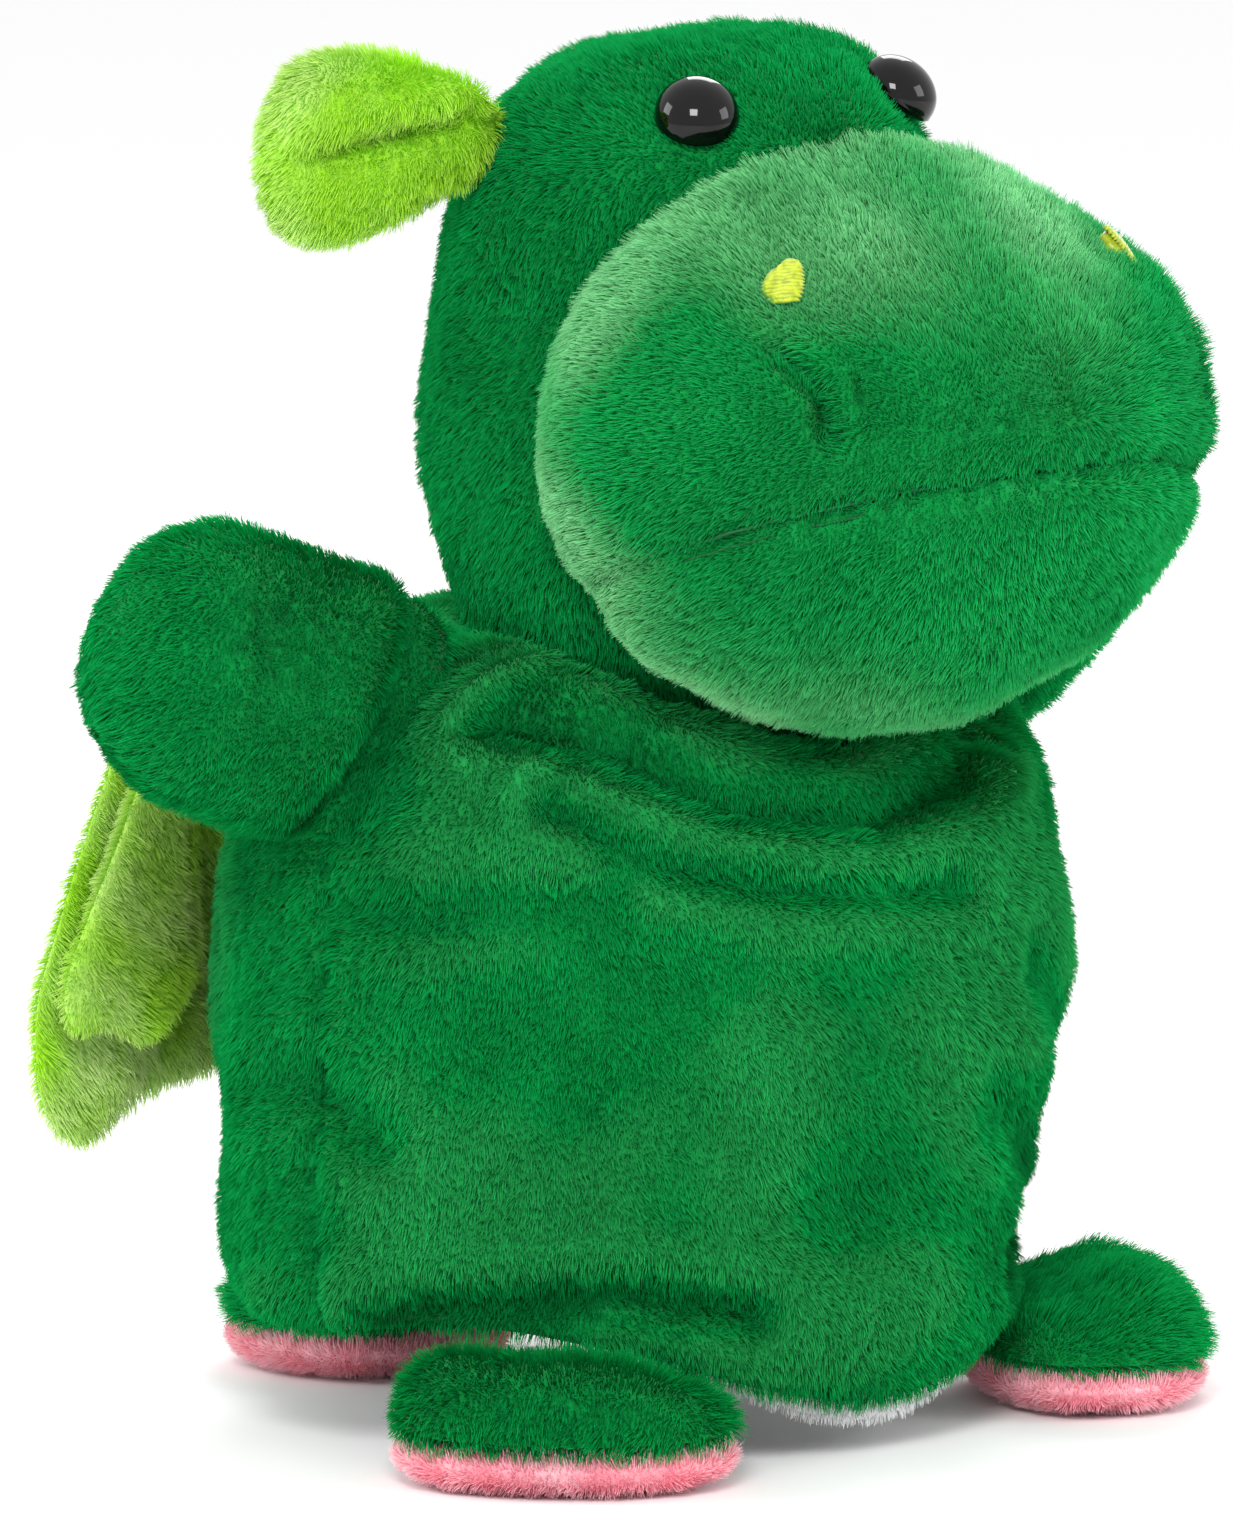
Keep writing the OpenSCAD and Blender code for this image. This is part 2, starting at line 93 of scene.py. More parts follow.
def make_light():
    world = bpy.data.worlds.new("studio")
    world.use_nodes = True
    world.node_tree.nodes["Background"].inputs["Color"].default_value = (1, 1, 1, 1)
    world.node_tree.nodes["Background"].inputs["Strength"].default_value = 1.0
    bpy.context.scene.world = world
    bpy.context.scene.view_settings.view_transform = "Standard"
    for light in LIGHTS:
        area_light(*light)


def make_floor():
    half = FLOOR_HALF
    corners = [(-half, -half, 0), (half, -half, 0), (half, half, 0), (-half, half, 0)]
    floor = new_object("floor", corners, [(0, 1, 2, 3)])
    mat = bpy.data.materials.new("floor_white")
    mat.use_nodes = True
    bsdf = mat.node_tree.nodes["Principled BSDF"]
    bsdf.inputs["Base Color"].default_value = (0.93, 0.93, 0.93, 1)
    bsdf.inputs["Roughness"].default_value = 0.8
    floor.data.materials.append(mat)


# --- node helpers


def srgb(r, g, b):
    """Linear colour from 0-255 display values."""
    def lin(v):
        v /= 255
        return v / 12.92 if v <= 0.04045 else ((v + 0.055) / 1.055) ** 2.4
    return (lin(r), lin(g), lin(b), 1)


def add_node(tree, kind, settings=None, **sockets):
    """A node with its settings, and its inputs set or linked. s0, s1... name inputs by position."""
    node = tree.nodes.new(kind)
    for key, value in (settings or {}).items():
        setattr(node, key, value)
    for key, value in sockets.items():
        if key[0] == "s" and key[1:].isdigit():
            socket = node.inputs[int(key[1:])]
        else:
            socket = node.inputs[key.replace("_", " ")]
        if isinstance(value, bpy.types.NodeSocket):
            tree.links.new(value, socket)
        else:
            socket.default_value = value
    return node


def calc(tree, operation, *values, clamp=False):
    """The output of a maths node."""
    by_place = {"s%d" % k: value for k, value in enumerate(values)}
    return add_node(tree, "ShaderNodeMath", {"operation": operation, "use_clamp": clamp}, **by_place).outputs[0]


def noise(tree, place, scale, detail, **more):
    return add_node(tree, "ShaderNodeTexNoise", Vector=place, Scale=scale, Detail=detail, **more)


def mix_colours(tree, share, a, b, blend="MIX"):
    settings = {"data_type": "RGBA", "blend_type": blend}
    return add_node(tree, "ShaderNodeMix", settings, s0=share, s6=a, s7=b).outputs[2]


def new_material(name, **inputs):
    """A material with some shader inputs set: the material, its tree, its shader and object coordinates."""
    mat = bpy.data.materials.new(name)
    mat.use_nodes = True
    tree = mat.node_tree
    bsdf = tree.nodes["Principled BSDF"]
    for key, value in inputs.items():
        bsdf.inputs[key.replace("_", " ")].default_value = value
    return mat, tree, bsdf, add_node(tree, "ShaderNodeTexCoord").outputs["Object"]


def add_bump(tree, bsdf, height, strength, distance):
    bump = add_node(tree, "ShaderNodeBump", Strength=strength, Distance=distance, Height=height)
    tree.links.new(bump.outputs["Normal"], bsdf.inputs["Normal"])


def ramp(tree, factor, stops):
    node = add_node(tree, "ShaderNodeValToRGB", Fac=factor)
    elements = node.color_ramp.elements
    while len(elements) < len(stops):
        elements.new(0.5)
    for element, (place, colour) in zip(elements, stops):
        element.position = place
        element.color = colour
    return node.outputs["Color"]


DEEP_SHADE = (0.12, 0.2, 0.14, 1)  # painted shade: tint that darkens skin and pile where the pale-and-shade attribute is below zero


def scaled(colour, k):
    return (colour[0] * k, colour[1] * k, colour[2] * k, 1)


def mixed(a, b, t):
    return tuple(a[k] * (1 - t) + b[k] * t for k in range(3)) + (1,)


def tint_pale_and_shade(tree, colour, pale, strength):
    """Moves colour towards pale where the pale-and-shade attribute is above zero (painted sheen and highlight on the
    green plush), and paints shade where it is below zero.
    """
    frost = add_node(tree, "ShaderNodeAttribute", {"attribute_name": "frost"}).outputs["Fac"]
    paled = mix_colours(tree, calc(tree, "MULTIPLY", frost, strength, clamp=True), colour, pale)
    return mix_colours(tree, calc(tree, "MULTIPLY", frost, -0.75, clamp=True), paled, DEEP_SHADE, "MULTIPLY")


def plush_material(name, dark, mid, light, pale):
    """Skin under the pile: mottled colour with a fine nap bump, good on its own where no pile is drawn."""
    mat, tree, bsdf, place = new_material(name, Roughness=0.95, Specular_IOR_Level=0.1, Sheen_Weight=0.12,
                                          Sheen_Roughness=0.5)
    patch = noise(tree, place, 55.0, 3.0, Roughness=0.6).outputs["Fac"]
    tuft = noise(tree, place, 520.0, 4.0, Roughness=0.7).outputs["Fac"]
    blend = calc(tree, "MULTIPLY_ADD", tuft, 0.65, calc(tree, "MULTIPLY", patch, 0.35))
    colour = ramp(tree, blend, [(0.36, dark), (0.5, mid), (0.66, light)])
    # the skin takes the painted sheen, highlight and shade of the pale-and-shade attribute too
    tree.links.new(tint_pale_and_shade(tree, colour, pale, 0.6), bsdf.inputs["Base Color"])
    add_bump(tree, bsdf, tuft, 0.7, 0.0012)
    return mat


def pile_material(name, root, middle, tip, pale):
    """The drawn pile: darker at the root as painted shade and paler at the tip as painted sheen, a little different
    strand by strand.
    """
    mat, tree, bsdf, place = new_material(name, Roughness=0.8, Specular_IOR_Level=0.03)
    hair = add_node(tree, "ShaderNodeHairInfo")
    height = hair.outputs["Intercept"]
    # painted shade at the root, painted sheen at the tip
    along = ramp(tree, height, [(0.0, root), (0.5, middle), (1.0, tip)])
    patch = noise(tree, place, 40.0, 2.0).outputs["Fac"]
    vary = calc(tree, "MULTIPLY_ADD", hair.outputs["Random"], 0.3, calc(tree, "MULTIPLY_ADD", patch, 0.6, 0.55))
    grey = add_node(tree, "ShaderNodeCombineColor", Red=vary, Green=vary, Blue=vary).outputs[0]
    # the pale-and-shade tint, painted sheen, highlight and shade, strongest at the tip
    colour = mix_colours(tree, 1.0, tint_pale_and_shade(tree, along, pale, height), grey, "MULTIPLY")
    tree.links.new(colour, bsdf.inputs["Base Color"])
    return mat


def cloth_material(name, colour, scale):
    """Plain woven lining or board cover."""
    mat, tree, bsdf, place = new_material(name, Roughness=0.85)
    waves = [add_node(tree, "ShaderNodeTexWave", {"bands_direction": axis}, Vector=place, Scale=scale,
                      Distortion=1.0).outputs["Fac"] for axis in ("X", "Y")]
    weave = calc(tree, "MULTIPLY", *waves)
    tree.links.new(ramp(tree, weave, [(0.0, scaled(colour, 0.8)), (0.7, colour)]), bsdf.inputs["Base Color"])
    add_bump(tree, bsdf, weave, 0.4, 0.0004)
    return mat


def plastic_material(name, colour, roughness, coat, specular=0.5):
    mat, tree, bsdf, place = new_material(name, Coat_Weight=coat, Coat_Roughness=0.02, Specular_IOR_Level=specular)
    smear = noise(tree, place, 180.0, 3.0).outputs["Fac"]
    rough = add_node(tree, "ShaderNodeMapRange", Value=smear, To_Min=roughness * 0.7, To_Max=roughness * 1.5)
    tree.links.new(rough.outputs[0], bsdf.inputs["Roughness"])
    tree.links.new(ramp(tree, smear, [(0.3, scaled(colour, 0.85)), (0.7, colour)]), bsdf.inputs["Base Color"])
    return mat


def thread_material(name, colour):
    mat, tree, bsdf, place = new_material(name, Roughness=0.35, Sheen_Weight=0.4)
    twist = noise(tree, place, 900.0, 2.0).outputs["Fac"]
    tree.links.new(ramp(tree, twist, [(0.3, scaled(colour, 0.55)), (0.65, colour)]), bsdf.inputs["Base Color"])
    add_bump(tree, bsdf, twist, 0.5, 0.0002)
    return mat


COLOURS = {  # root (painted shade), middle, tip (painted sheen) of the pile, and its pale colour where the pale-and-shade attribute is above zero
    "green": (srgb(0, 90, 38), srgb(0, 143, 64), srgb(16, 161, 80), srgb(110, 196, 130)),
    # deep: a slightly darker copy of the green for the head, which is the same green fabric as the body: painted shade
    "deep": (srgb(0, 84, 34), srgb(0, 136, 60), srgb(16, 153, 77), srgb(90, 180, 116)),
    # muzzle: a slightly lighter copy of the green, painted sheen of the muzzle's brushed-back pile
    "muzzle": (srgb(0, 98, 40), srgb(2, 148, 66), srgb(34, 172, 92), srgb(134, 210, 146)),
    "lime": (srgb(132, 192, 22), srgb(160, 218, 44), srgb(182, 228, 90), srgb(226, 240, 180)),
    "pink": (srgb(232, 130, 150), srgb(248, 166, 180), srgb(255, 206, 214), srgb(255, 222, 228)),
    "white": (srgb(206, 206, 208), srgb(236, 236, 238), srgb(250, 250, 250), srgb(255, 255, 255)),
}
SLOT_OF = {"green": "green_plush", "deep": "deep_green_plush", "muzzle": "muzzle_plush",
           "lime": "lime_plush", "pink": "pink_plush", "white": "white_plush"}
SKIN = {}
PILE = {}


def make_materials():
    for key, (root, middle, tip, pale) in COLOURS.items():
        SKIN[key] = plush_material(SLOT_OF[key], mixed(root, middle, 0.3), middle, mixed(middle, tip, 0.5), pale)
        PILE[key] = pile_material(SLOT_OF[key] + "_pile", root, middle, tip, pale)


# --- surfaces


def lumps(points, size, seed, waves=9):
    """Smooth noise in -1..1 from a few sine waves of about one size, the same on every run."""
    rng = np.random.default_rng(seed)
    total = np.zeros(points.shape[:-1])
    for _ in range(waves):
        direction = rng.normal(size=3)
        direction *= 2 * math.pi / size * rng.uniform(0.6, 1.3) / np.linalg.norm(direction)
        total += np.sin(points @ direction + rng.uniform(0, 2 * math.pi))
    return total / waves ** 0.5 * 0.8


def crease(points, path, width, depth, swell=0.35):
    """Height of a crease along a path: a valley with soft swollen sides. Any number of dimensions."""
    best = np.full(points.shape[:-1], 1e9)
    for start, stop in zip(path[:-1], path[1:]):
        a, b = np.array(start, float), np.array(stop, float)
        t = np.clip(((points - a) @ (b - a)) / ((b - a) @ (b - a)), 0, 1)
        best = np.minimum(best, np.linalg.norm(points - a - t[..., None] * (b - a), axis=-1))
    d = best / width
    return -depth * np.exp(-d * d) + swell * depth * np.exp(-((d - 2.0) / 0.9) ** 2)


def grid_normals(grid, wrap):
    """Unit normals of a grid of points, as rows by columns by 3."""
    if wrap:
        du = np.roll(grid, -1, 1) - np.roll(grid, 1, 1)
    else:
        du = np.gradient(grid, axis=1)
    dv = np.gradient(grid, axis=0)
    normal = np.cross(du, dv)
    length = np.linalg.norm(normal, axis=2, keepdims=True)
    return normal / np.maximum(length, 1e-12)


def lifted(grid, centre, wrap, lift, inset=0.0):
    """The grid moved along its outward normals by lift less inset, and whether its faces look outwards."""
    normal = grid_normals(grid, wrap)
    outwards = np.sum(normal * (grid - np.array(centre)), axis=2).mean() > 0
    if not outwards:
        normal = -normal
    return grid + normal * (lift - inset)[..., None], outwards


def shell(name, grid, thick, centre, wrap=False, lift=None, inset=0.0):
    """A fabric layer: the grid moved by lift, and an inner face thick behind it."""
    lift = np.zeros(grid.shape[:2]) if lift is None else lift
    outer, outwards = lifted(grid, centre, wrap, lift, inset)
    inner, _ = lifted(grid, centre, wrap, lift, inset + thick)
    return layer_mesh(name, outer, inner, wrap, outwards)


def new_object(name, verts, faces, pile=None):
    """A smooth mesh object, with its pile attribute (1 where pile grows, else 0) where it has one."""
    mesh = bpy.data.meshes.new(name)
    mesh.from_pydata(verts, [], faces)
    if len(faces) > 1:
        mesh.shade_smooth()
    if pile is not None:
        layer = mesh.attributes.new("pile", "FLOAT", "POINT")
        layer.data.foreach_set("value", np.array(pile, dtype=np.float32))
    obj = bpy.data.objects.new(name, mesh)
    bpy.context.collection.objects.link(obj)
    return obj


def layer_mesh(name, outer, inner, wrap, outwards):
    """Two grids of points as the faces of one layer, closed along their edges."""
    rows, cols = outer.shape[:2]
    n = rows * cols
    i, j = np.meshgrid(np.arange(rows - 1), np.arange(cols if wrap else cols - 1), indexing="ij")
    jn = (j + 1) % cols
    face = np.stack([i * cols + j, i * cols + jn, (i + 1) * cols + jn, (i + 1) * cols + j], -1).reshape(-1, 4)
    r = np.arange(cols if wrap else cols - 1)
    rn = (r + 1) % cols
    last = (rows - 1) * cols
    edges = [(rn, r), (last + r, last + rn)]
    if not wrap:
        k = np.arange(rows - 1) * cols
        edges += [(k, k + cols), (k + 2 * cols - 1, k + cols - 1)]
    faces = [face, face[:, ::-1] + n] + [np.stack([a, b, b + n, a + n], -1) for a, b in edges]
    faces = np.concatenate(faces)
    if not outwards:
        faces = faces[:, ::-1]
    verts = np.concatenate([outer.reshape(-1, 3), inner.reshape(-1, 3)])
    return new_object(name, verts.tolist(), faces.tolist(), np.repeat([1, 0], n))


def solid_mesh(name, rings, centre):
    """A closed form through rings of points, capped by a fan at each end."""
    rows, cols = rings.shape[:2]
    verts = rings.reshape(-1, 3).tolist()
    faces = [(i * cols + j, i * cols + (j + 1) % cols, (i + 1) * cols + (j + 1) % cols, (i + 1) * cols + j)
             for i in range(rows - 1) for j in range(cols)]
    outwards = np.sum(grid_normals(rings, True) * (rings - np.array(centre)), axis=2).mean() > 0
    for row, order in ((0, 1), (rows - 1, -1)):
        hub = len(verts)
        verts.append(rings[row].mean(axis=0).tolist())
        faces += [(hub, row * cols + (j + 1) % cols, row * cols + j)[::order] for j in range(cols)]
    if not outwards:
        faces = [f[::-1] for f in faces]
    return new_object(name, verts, faces, np.ones(len(verts)))


def vertex_array(obj):
    co = np.empty(len(obj.data.vertices) * 3, dtype=np.float32)
    obj.data.vertices.foreach_get("co", co)
    return co.reshape(-1, 3)


# --- pile

PILE_DENSITY = 3.8e6  # strands per square metre
PILE_LENGTH = 2.4 * MM
PILE_ROOT = 0.1 * MM  # radius of a strand at its root


def pile_tree(skin, key, length):
    """Geometry nodes that grow the pile of one plush on a skin, where its pile attribute is set."""
    tree = bpy.data.node_groups.new(skin.name + "_pile", "GeometryNodeTree")
    tree.interface.new_socket("Geometry", in_out="INPUT", socket_type="NodeSocketGeometry")
    tree.interface.new_socket("Geometry", in_out="OUTPUT", socket_type="NodeSocketGeometry")
    end = add_node(tree, "NodeGroupOutput")

    def vec(op, a, b):
        return add_node(tree, "ShaderNodeVectorMath", {"operation": op}, s0=a, s1=b).outputs[0]

    def scale(a, k):
        return add_node(tree, "ShaderNodeVectorMath", {"operation": "SCALE"}, s0=a, Scale=k).outputs[0]

    def named(name, kind="FLOAT_VECTOR"):
        return add_node(tree, "GeometryNodeInputNamedAttribute", {"data_type": kind}, Name=name).outputs["Attribute"]

    def store(geometry, name, value, kind="FLOAT_VECTOR"):
        node = add_node(tree, "GeometryNodeStoreNamedAttribute", {"data_type": kind, "domain": "POINT"},
                        Geometry=geometry, Name=name, Value=value)
        return node.outputs["Geometry"]

    def wander(place, size):
        return vec("SUBTRACT", noise(tree, place, size, 1.0).outputs["Color"], (0.5, 0.5, 0.5))

    surface = add_node(tree, "GeometryNodeObjectInfo", {"transform_space": "RELATIVE"}, Object=skin)
    scatter = add_node(tree, "GeometryNodeDistributePointsOnFaces", Mesh=surface.outputs["Geometry"],
                       Density=calc(tree, "MULTIPLY", named("pile", "FLOAT"), PILE_DENSITY), Seed=7)
    points = store(scatter.outputs["Points"], "skin_normal", scatter.outputs["Normal"])
    points = store(points, "skin_place", add_node(tree, "GeometryNodeInputPosition").outputs[0])
    chance = add_node(tree, "FunctionNodeRandomValue", {"data_type": "FLOAT_VECTOR"}, Min=(-1, -1, -1),
                      Max=(1, 1, 1), Seed=3)
    points = store(points, "jitter", chance.outputs[0])
    line = add_node(tree, "GeometryNodeCurvePrimitiveLine", End=(0.0, 0.0, 0.001))
    strand = add_node(tree, "GeometryNodeResampleCurve", Curve=line.outputs["Curve"], Count=4)
    placed = add_node(tree, "GeometryNodeInstanceOnPoints", Points=points, Instance=strand.outputs["Curve"])
    curves = add_node(tree, "GeometryNodeRealizeInstances", Geometry=placed.outputs["Instances"])
    t = add_node(tree, "GeometryNodeSplineParameter").outputs["Factor"]
    place = named("skin_place")
    jitter = named("jitter")
    lean = vec("ADD", scale(wander(place, 330.0), 1.5), scale(wander(place, 60.0), 1.1))
    lean = vec("ADD", vec("ADD", lean, scale(named("nap"), 0.75)), scale(jitter, 0.12))
    up = scale(named("skin_normal"), calc(tree, "MULTIPLY", t, 0.85))
    side = scale(lean, calc(tree, "MULTIPLY", calc(tree, "POWER", t, 1.6), 0.8))
    chances = add_node(tree, "ShaderNodeSeparateXYZ", Vector=jitter)
    uneven = calc(tree, "MULTIPLY", chances.outputs["X"], 0.2)
    full = calc(tree, "MULTIPLY", named("fur", "FLOAT"), length)
    reach = calc(tree, "MULTIPLY", calc(tree, "ADD", uneven, 1.0), full)
    moved = add_node(tree, "GeometryNodeSetPosition", Geometry=curves.outputs[0],
                     Position=vec("ADD", place, scale(vec("ADD", up, side), reach)))
    taper = calc(tree, "MULTIPLY", calc(tree, "SUBTRACT", 1.0, calc(tree, "MULTIPLY", t, 0.75)), PILE_ROOT)
    sized = add_node(tree, "GeometryNodeSetCurveRadius", Curve=moved.outputs[0], Radius=taper)
    dyed = add_node(tree, "GeometryNodeSetMaterial", Geometry=sized.outputs[0], Material=PILE[key])
    tree.links.new(dyed.outputs[0], end.inputs[0])
    return tree


def set_nap(obj, direction):
    """Stores which way the pile lies: direction(points) gives a vector at each point, flattened on the skin."""
    co = vertex_array(obj)
    normal = np.empty(len(obj.data.vertices) * 3, dtype=np.float32)
    obj.data.vertex_normals.foreach_get("vector", normal)
    normal = normal.reshape(-1, 3)
    flow = direction(co)
    flow = flow - normal * np.sum(flow * normal, axis=1, keepdims=True)
    flow /= np.maximum(np.linalg.norm(flow, axis=1, keepdims=True), 1e-6)
    nap = obj.data.attributes.new("nap", "FLOAT_VECTOR", "POINT")
    nap.data.foreach_set("vector", flow.astype(np.float32).ravel())


def paint(obj, name, values):
    """Stores one number per point, such as fur (length of the pile, 1 is normal) or pale-and-shade (paler where above
    zero, painted shade where below).
    """
    layer = obj.data.attributes.get(name) or obj.data.attributes.new(name, "FLOAT", "POINT")
    layer.data.foreach_set("value", np.broadcast_to(values, len(obj.data.vertices)).astype(np.float32))


def along(direction):
    """A pile that lies one way all over."""
    return lambda co: np.tile(np.array(direction, float), (len(co), 1))


down = along([0, 0, -1])


def plush(obj, key, body, replaces=(), nap=down, length=1.0, fur=None, frost=None):
    """Finishes a plush piece: skin material, slot, body, the CAD nodes it stands for, and its pile."""
    obj.data.materials.append(SKIN[key])
    set_nap(obj, nap)
    co = vertex_array(obj)
    paint(obj, "fur", 1.0 if fur is None else fur(co))
    paint(obj, "frost", 0.0 if frost is None else frost(co))
    if body:
        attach(obj, body)
    if replaces:
        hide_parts(*replaces)
    grow_pile(obj, key, length)


def grow_pile(skin, key, length):
    """Strands of pile on a skin, following it wherever it moves; they only show in renders."""
    strands = bpy.data.objects.new(skin.name + "_pile", bpy.data.hair_curves.new(skin.name + "_pile"))
    bpy.context.collection.objects.link(strands)
    modifier = strands.modifiers.new("pile", "NODES")
    modifier.node_group = pile_tree(skin, key, PILE_LENGTH * length)


# --- sizes shared with the CAD model

BODY_Y = 7.5 * MM
BODY_A, BODY_B = 81 * MM, 71 * MM
MUZZLE_C = np.array([0, -49.5, 181]) * MM
MUZZLE_R = np.array([65, 53, 54]) * MM
JAW_HINGE = np.array([0, -44, 161]) * MM
MOUTH_SLOPE = math.tan(math.radians(18.4))
LIP_GAP = 0.35 * MM
LIP_INSET = 3.6 * MM  # how far the mouth fabric stops inside the lips
HEAD_MIDDLE = (0, -0.0065, 0.19)
PILE_ROOM = 1.7 * MM  # the skin lies this far inside the outline that the pile reaches


make_camera()
make_light()
make_floor()
make_materials()

# --- sleeve


def hem_height(phi):
    """Height of the green hem at the angle phi from the front."""
    front = np.maximum(0, np.cos(phi)) ** 6
    return (24.5 - 16.0 * front + 1.2 * np.sin(5 * phi + 1.0)) * MM


def sleeve_grid(phi, inset, bottom, top_turn):
    """Rows from the bottom edge, over the shoulder, to the neck and a tuck inside it."""
    front = np.maximum(0, np.cos(phi)) ** 1.5
    shoulder = (112 - 14 * front) * MM
    neck_z = (143 - 18 * front) * MM
    rows = []
    for t in np.linspace(0, 1, 44):
        z = bottom + (shoulder - bottom) * t
        k = 1 - 0.05 * ((z / MM - 60) / 50) ** 2
        rows.append((k, z, np.zeros_like(phi)))
    for d in np.radians(np.linspace(4, 90, 20)):
        rows.append((rows[43][0], shoulder + (neck_z - shoulder) * math.sin(d), np.full_like(phi, 1 - math.cos(d))))
    for step in range(1, top_turn + 1):
        rows.append((rows[43][0], neck_z - step * 2.5 * MM, np.full_like(phi, 1.0)))
    grid = []
    neck = 44 * MM - inset
    for k, z, s in rows:
        x = (BODY_A - inset) * k * np.sin(phi) * (1 - s) + neck * np.sin(phi) * s
        y = (BODY_Y - (BODY_B - inset) * k * np.cos(phi)) * (1 - s) - neck * np.cos(phi) * s
        grid.append(np.stack([x, y, z], -1))
    return np.array(grid)


def sleeve_folds(grid, phi):
    """Wrinkles of the sleeve, in metres along the normal: u is millimetres round it, v the height."""
    u = np.degrees(phi)[None, :] * 1.35 + np.zeros(grid.shape[:2])
    u = np.where(u > 243, u - 486, u)
    v = grid[..., 2] / MM
    h = 1.3 * lumps(grid / MM, 62, 11) + 0.6 * lumps(grid / MM, 25, 5)
    folds = [
        ([(-96, 134), (-68, 128), (-40, 118), (-8, 114), (24, 119), (46, 127)], 4.0, 4.6),
        ([(-76, 120), (-50, 109), (-22, 103), (12, 101)], 3.6, 3.4),
        ([(-118, 99), (-90, 102), (-62, 104)], 4.5, 1.8),
        ([(-60, 92), (-30, 88), (-6, 90)], 6.0, 1.2),
        ([(-112, 26), (-92, 30), (-60, 33), (-34, 29)], 4.2, 4.8),
        ([(-150, 64), (-128, 68), (-106, 60)], 5.0, 2.2),
        ([(20, 60), (44, 48), (60, 30)], 7.0, 2.6),
        ([(36, 84), (60, 70), (78, 52)], 6.0, 2.2),
        ([(-20, 48), (10, 42), (34, 34)], 8.0, 1.6),
        ([(92, 30), (70, 34), (38, 30)], 5.0, 3.4),
        ([(96, 136), (68, 131), (46, 124)], 4.5, 3.0),
        ([(150, 80), (146, 50), (152, 26)], 5.0, 2.2),
        ([(-190, 96), (-210, 70), (-214, 40)], 6.0, 2.0),
        ([(200, 100), (216, 66), (210, 34)], 6.0, 2.2),
    ]
    for path, width, depth in folds:
        h = h + crease(np.stack([u, v], -1), path, width, depth)
    for seam in (-125.0, 125.0):
        line = seam + 1.0 * np.sin(v / 11)
        d = np.abs(u - line) / 2.8
        pucker = 0.8 + 0.35 * np.sin(v * 0.9) + 0.3 * np.sin(v * 0.37 + 1)
        h = h - 3.0 * pucker * np.exp(-d * d) * (v < 116)
    low = np.clip((78 - v) / 42, 0, 1)
    h = h - 9.0 * np.exp(-((u - 66) / 30) ** 2) * low * low * (3 - 2 * low)
    edge = np.clip((v - (hem_height(phi) / MM)[None, :]) / 7, 0, 1)
    h = h - 1.6 * (1 - edge) ** 2
    return h * MM


phi = np.linspace(0, 2 * math.pi, 220, endpoint=False)
outer = sleeve_grid(phi, PILE_ROOM, hem_height(phi), 6)
folds = sleeve_folds(outer, phi)
SKIN_T = 1.4 * MM
LINING_GAP = 1.0 * MM
body = shell("body_skin", outer, SKIN_T, (0, 0.0075, 0.08), wrap=True, lift=folds)
# pale-and-shade of the body from its fold heights: painted highlight on the fold ridges, painted shade in the creases,
# seams, dents and hem
ridge = np.concatenate([folds.ravel(), folds.ravel()]) / MM
plush(body, "green", "torso", ("body_front_panel", "body_back_panel"),
      frost=lambda co: np.clip(ridge * 0.12, -0.8, 0.12))


def lining_hem(phi):
    """Bottom edge of the white lining, which shows below the green hem in front."""
    front = np.maximum(0, np.cos(phi)) ** 6
    return hem_height(phi) + (1.5 - 6.0 * front) * MM


lining_grid = sleeve_grid(phi, PILE_ROOM, lining_hem(phi), 0)[:-11]
lining_lift = sleeve_folds(lining_grid, phi)
lining = shell("lining_skin", lining_grid, 1.4 * MM, (0, 0.0075, 0.08), wrap=True, lift=lining_lift,
               inset=SKIN_T + LINING_GAP)
low = np.clip((34 * MM - vertex_array(lining)[:, 2]) / (4 * MM), 0, 1)
lining.data.attributes["pile"].data.foreach_set(
    "value", (low * (np.arange(len(low)) < len(low) // 2)).astype(np.float32))
plush(lining, "white", "torso", ("body_lining",), length=0.6)

# --- head

HEAD_LEVELS = [  # height, half width, half depth, middle in y, all in millimetres
    (116, 37.5, 37.5, 0.0), (130, 38.0, 38.0, 0.0), (141, 39.5, 39.5, -1.5), (147, 43.0, 42.0, -4.0),
    (153, 46.5, 45.0, -6.0), (161, 49.0, 47.0, -6.5), (174, 50.0, 48.0, -6.5), (190, 48.8, 47.0, -6.5),
    (206, 46.8, 45.4, -6.5)]
DOME_FOOT = HEAD_LEVELS[-1][0]
HEAD_DOME = 43.8  # height of the crown above it
DOME_POWER = 2 / 2.75


def head_rows(inset):
    """Height, half width, half depth and middle of each level, up to the crown."""
    table = np.array(HEAD_LEVELS)
    _, half, deep, middle = table[-1]
    rows = [[h] + [np.interp(h, table[:, 0], table[:, k]) - (inset if k < 3 else 0) for k in (1, 2, 3)]
            for h in np.linspace(table[0, 0], DOME_FOOT, 42)]
    for d in np.radians(np.linspace(3, 89, 34)):
        k = math.cos(d) ** DOME_POWER
        height = DOME_FOOT + (HEAD_DOME - inset) * math.sin(d) ** DOME_POWER
        rows.append([height, (half - inset) * k, (deep - inset) * k, middle])
    return np.array(rows)


def muzzle_depth(points):
    """Below 1 inside the muzzle's round form, above 1 outside, for points in millimetres."""
    return np.linalg.norm((points - MUZZLE_C / MM) / (MUZZLE_R / MM), axis=-1)


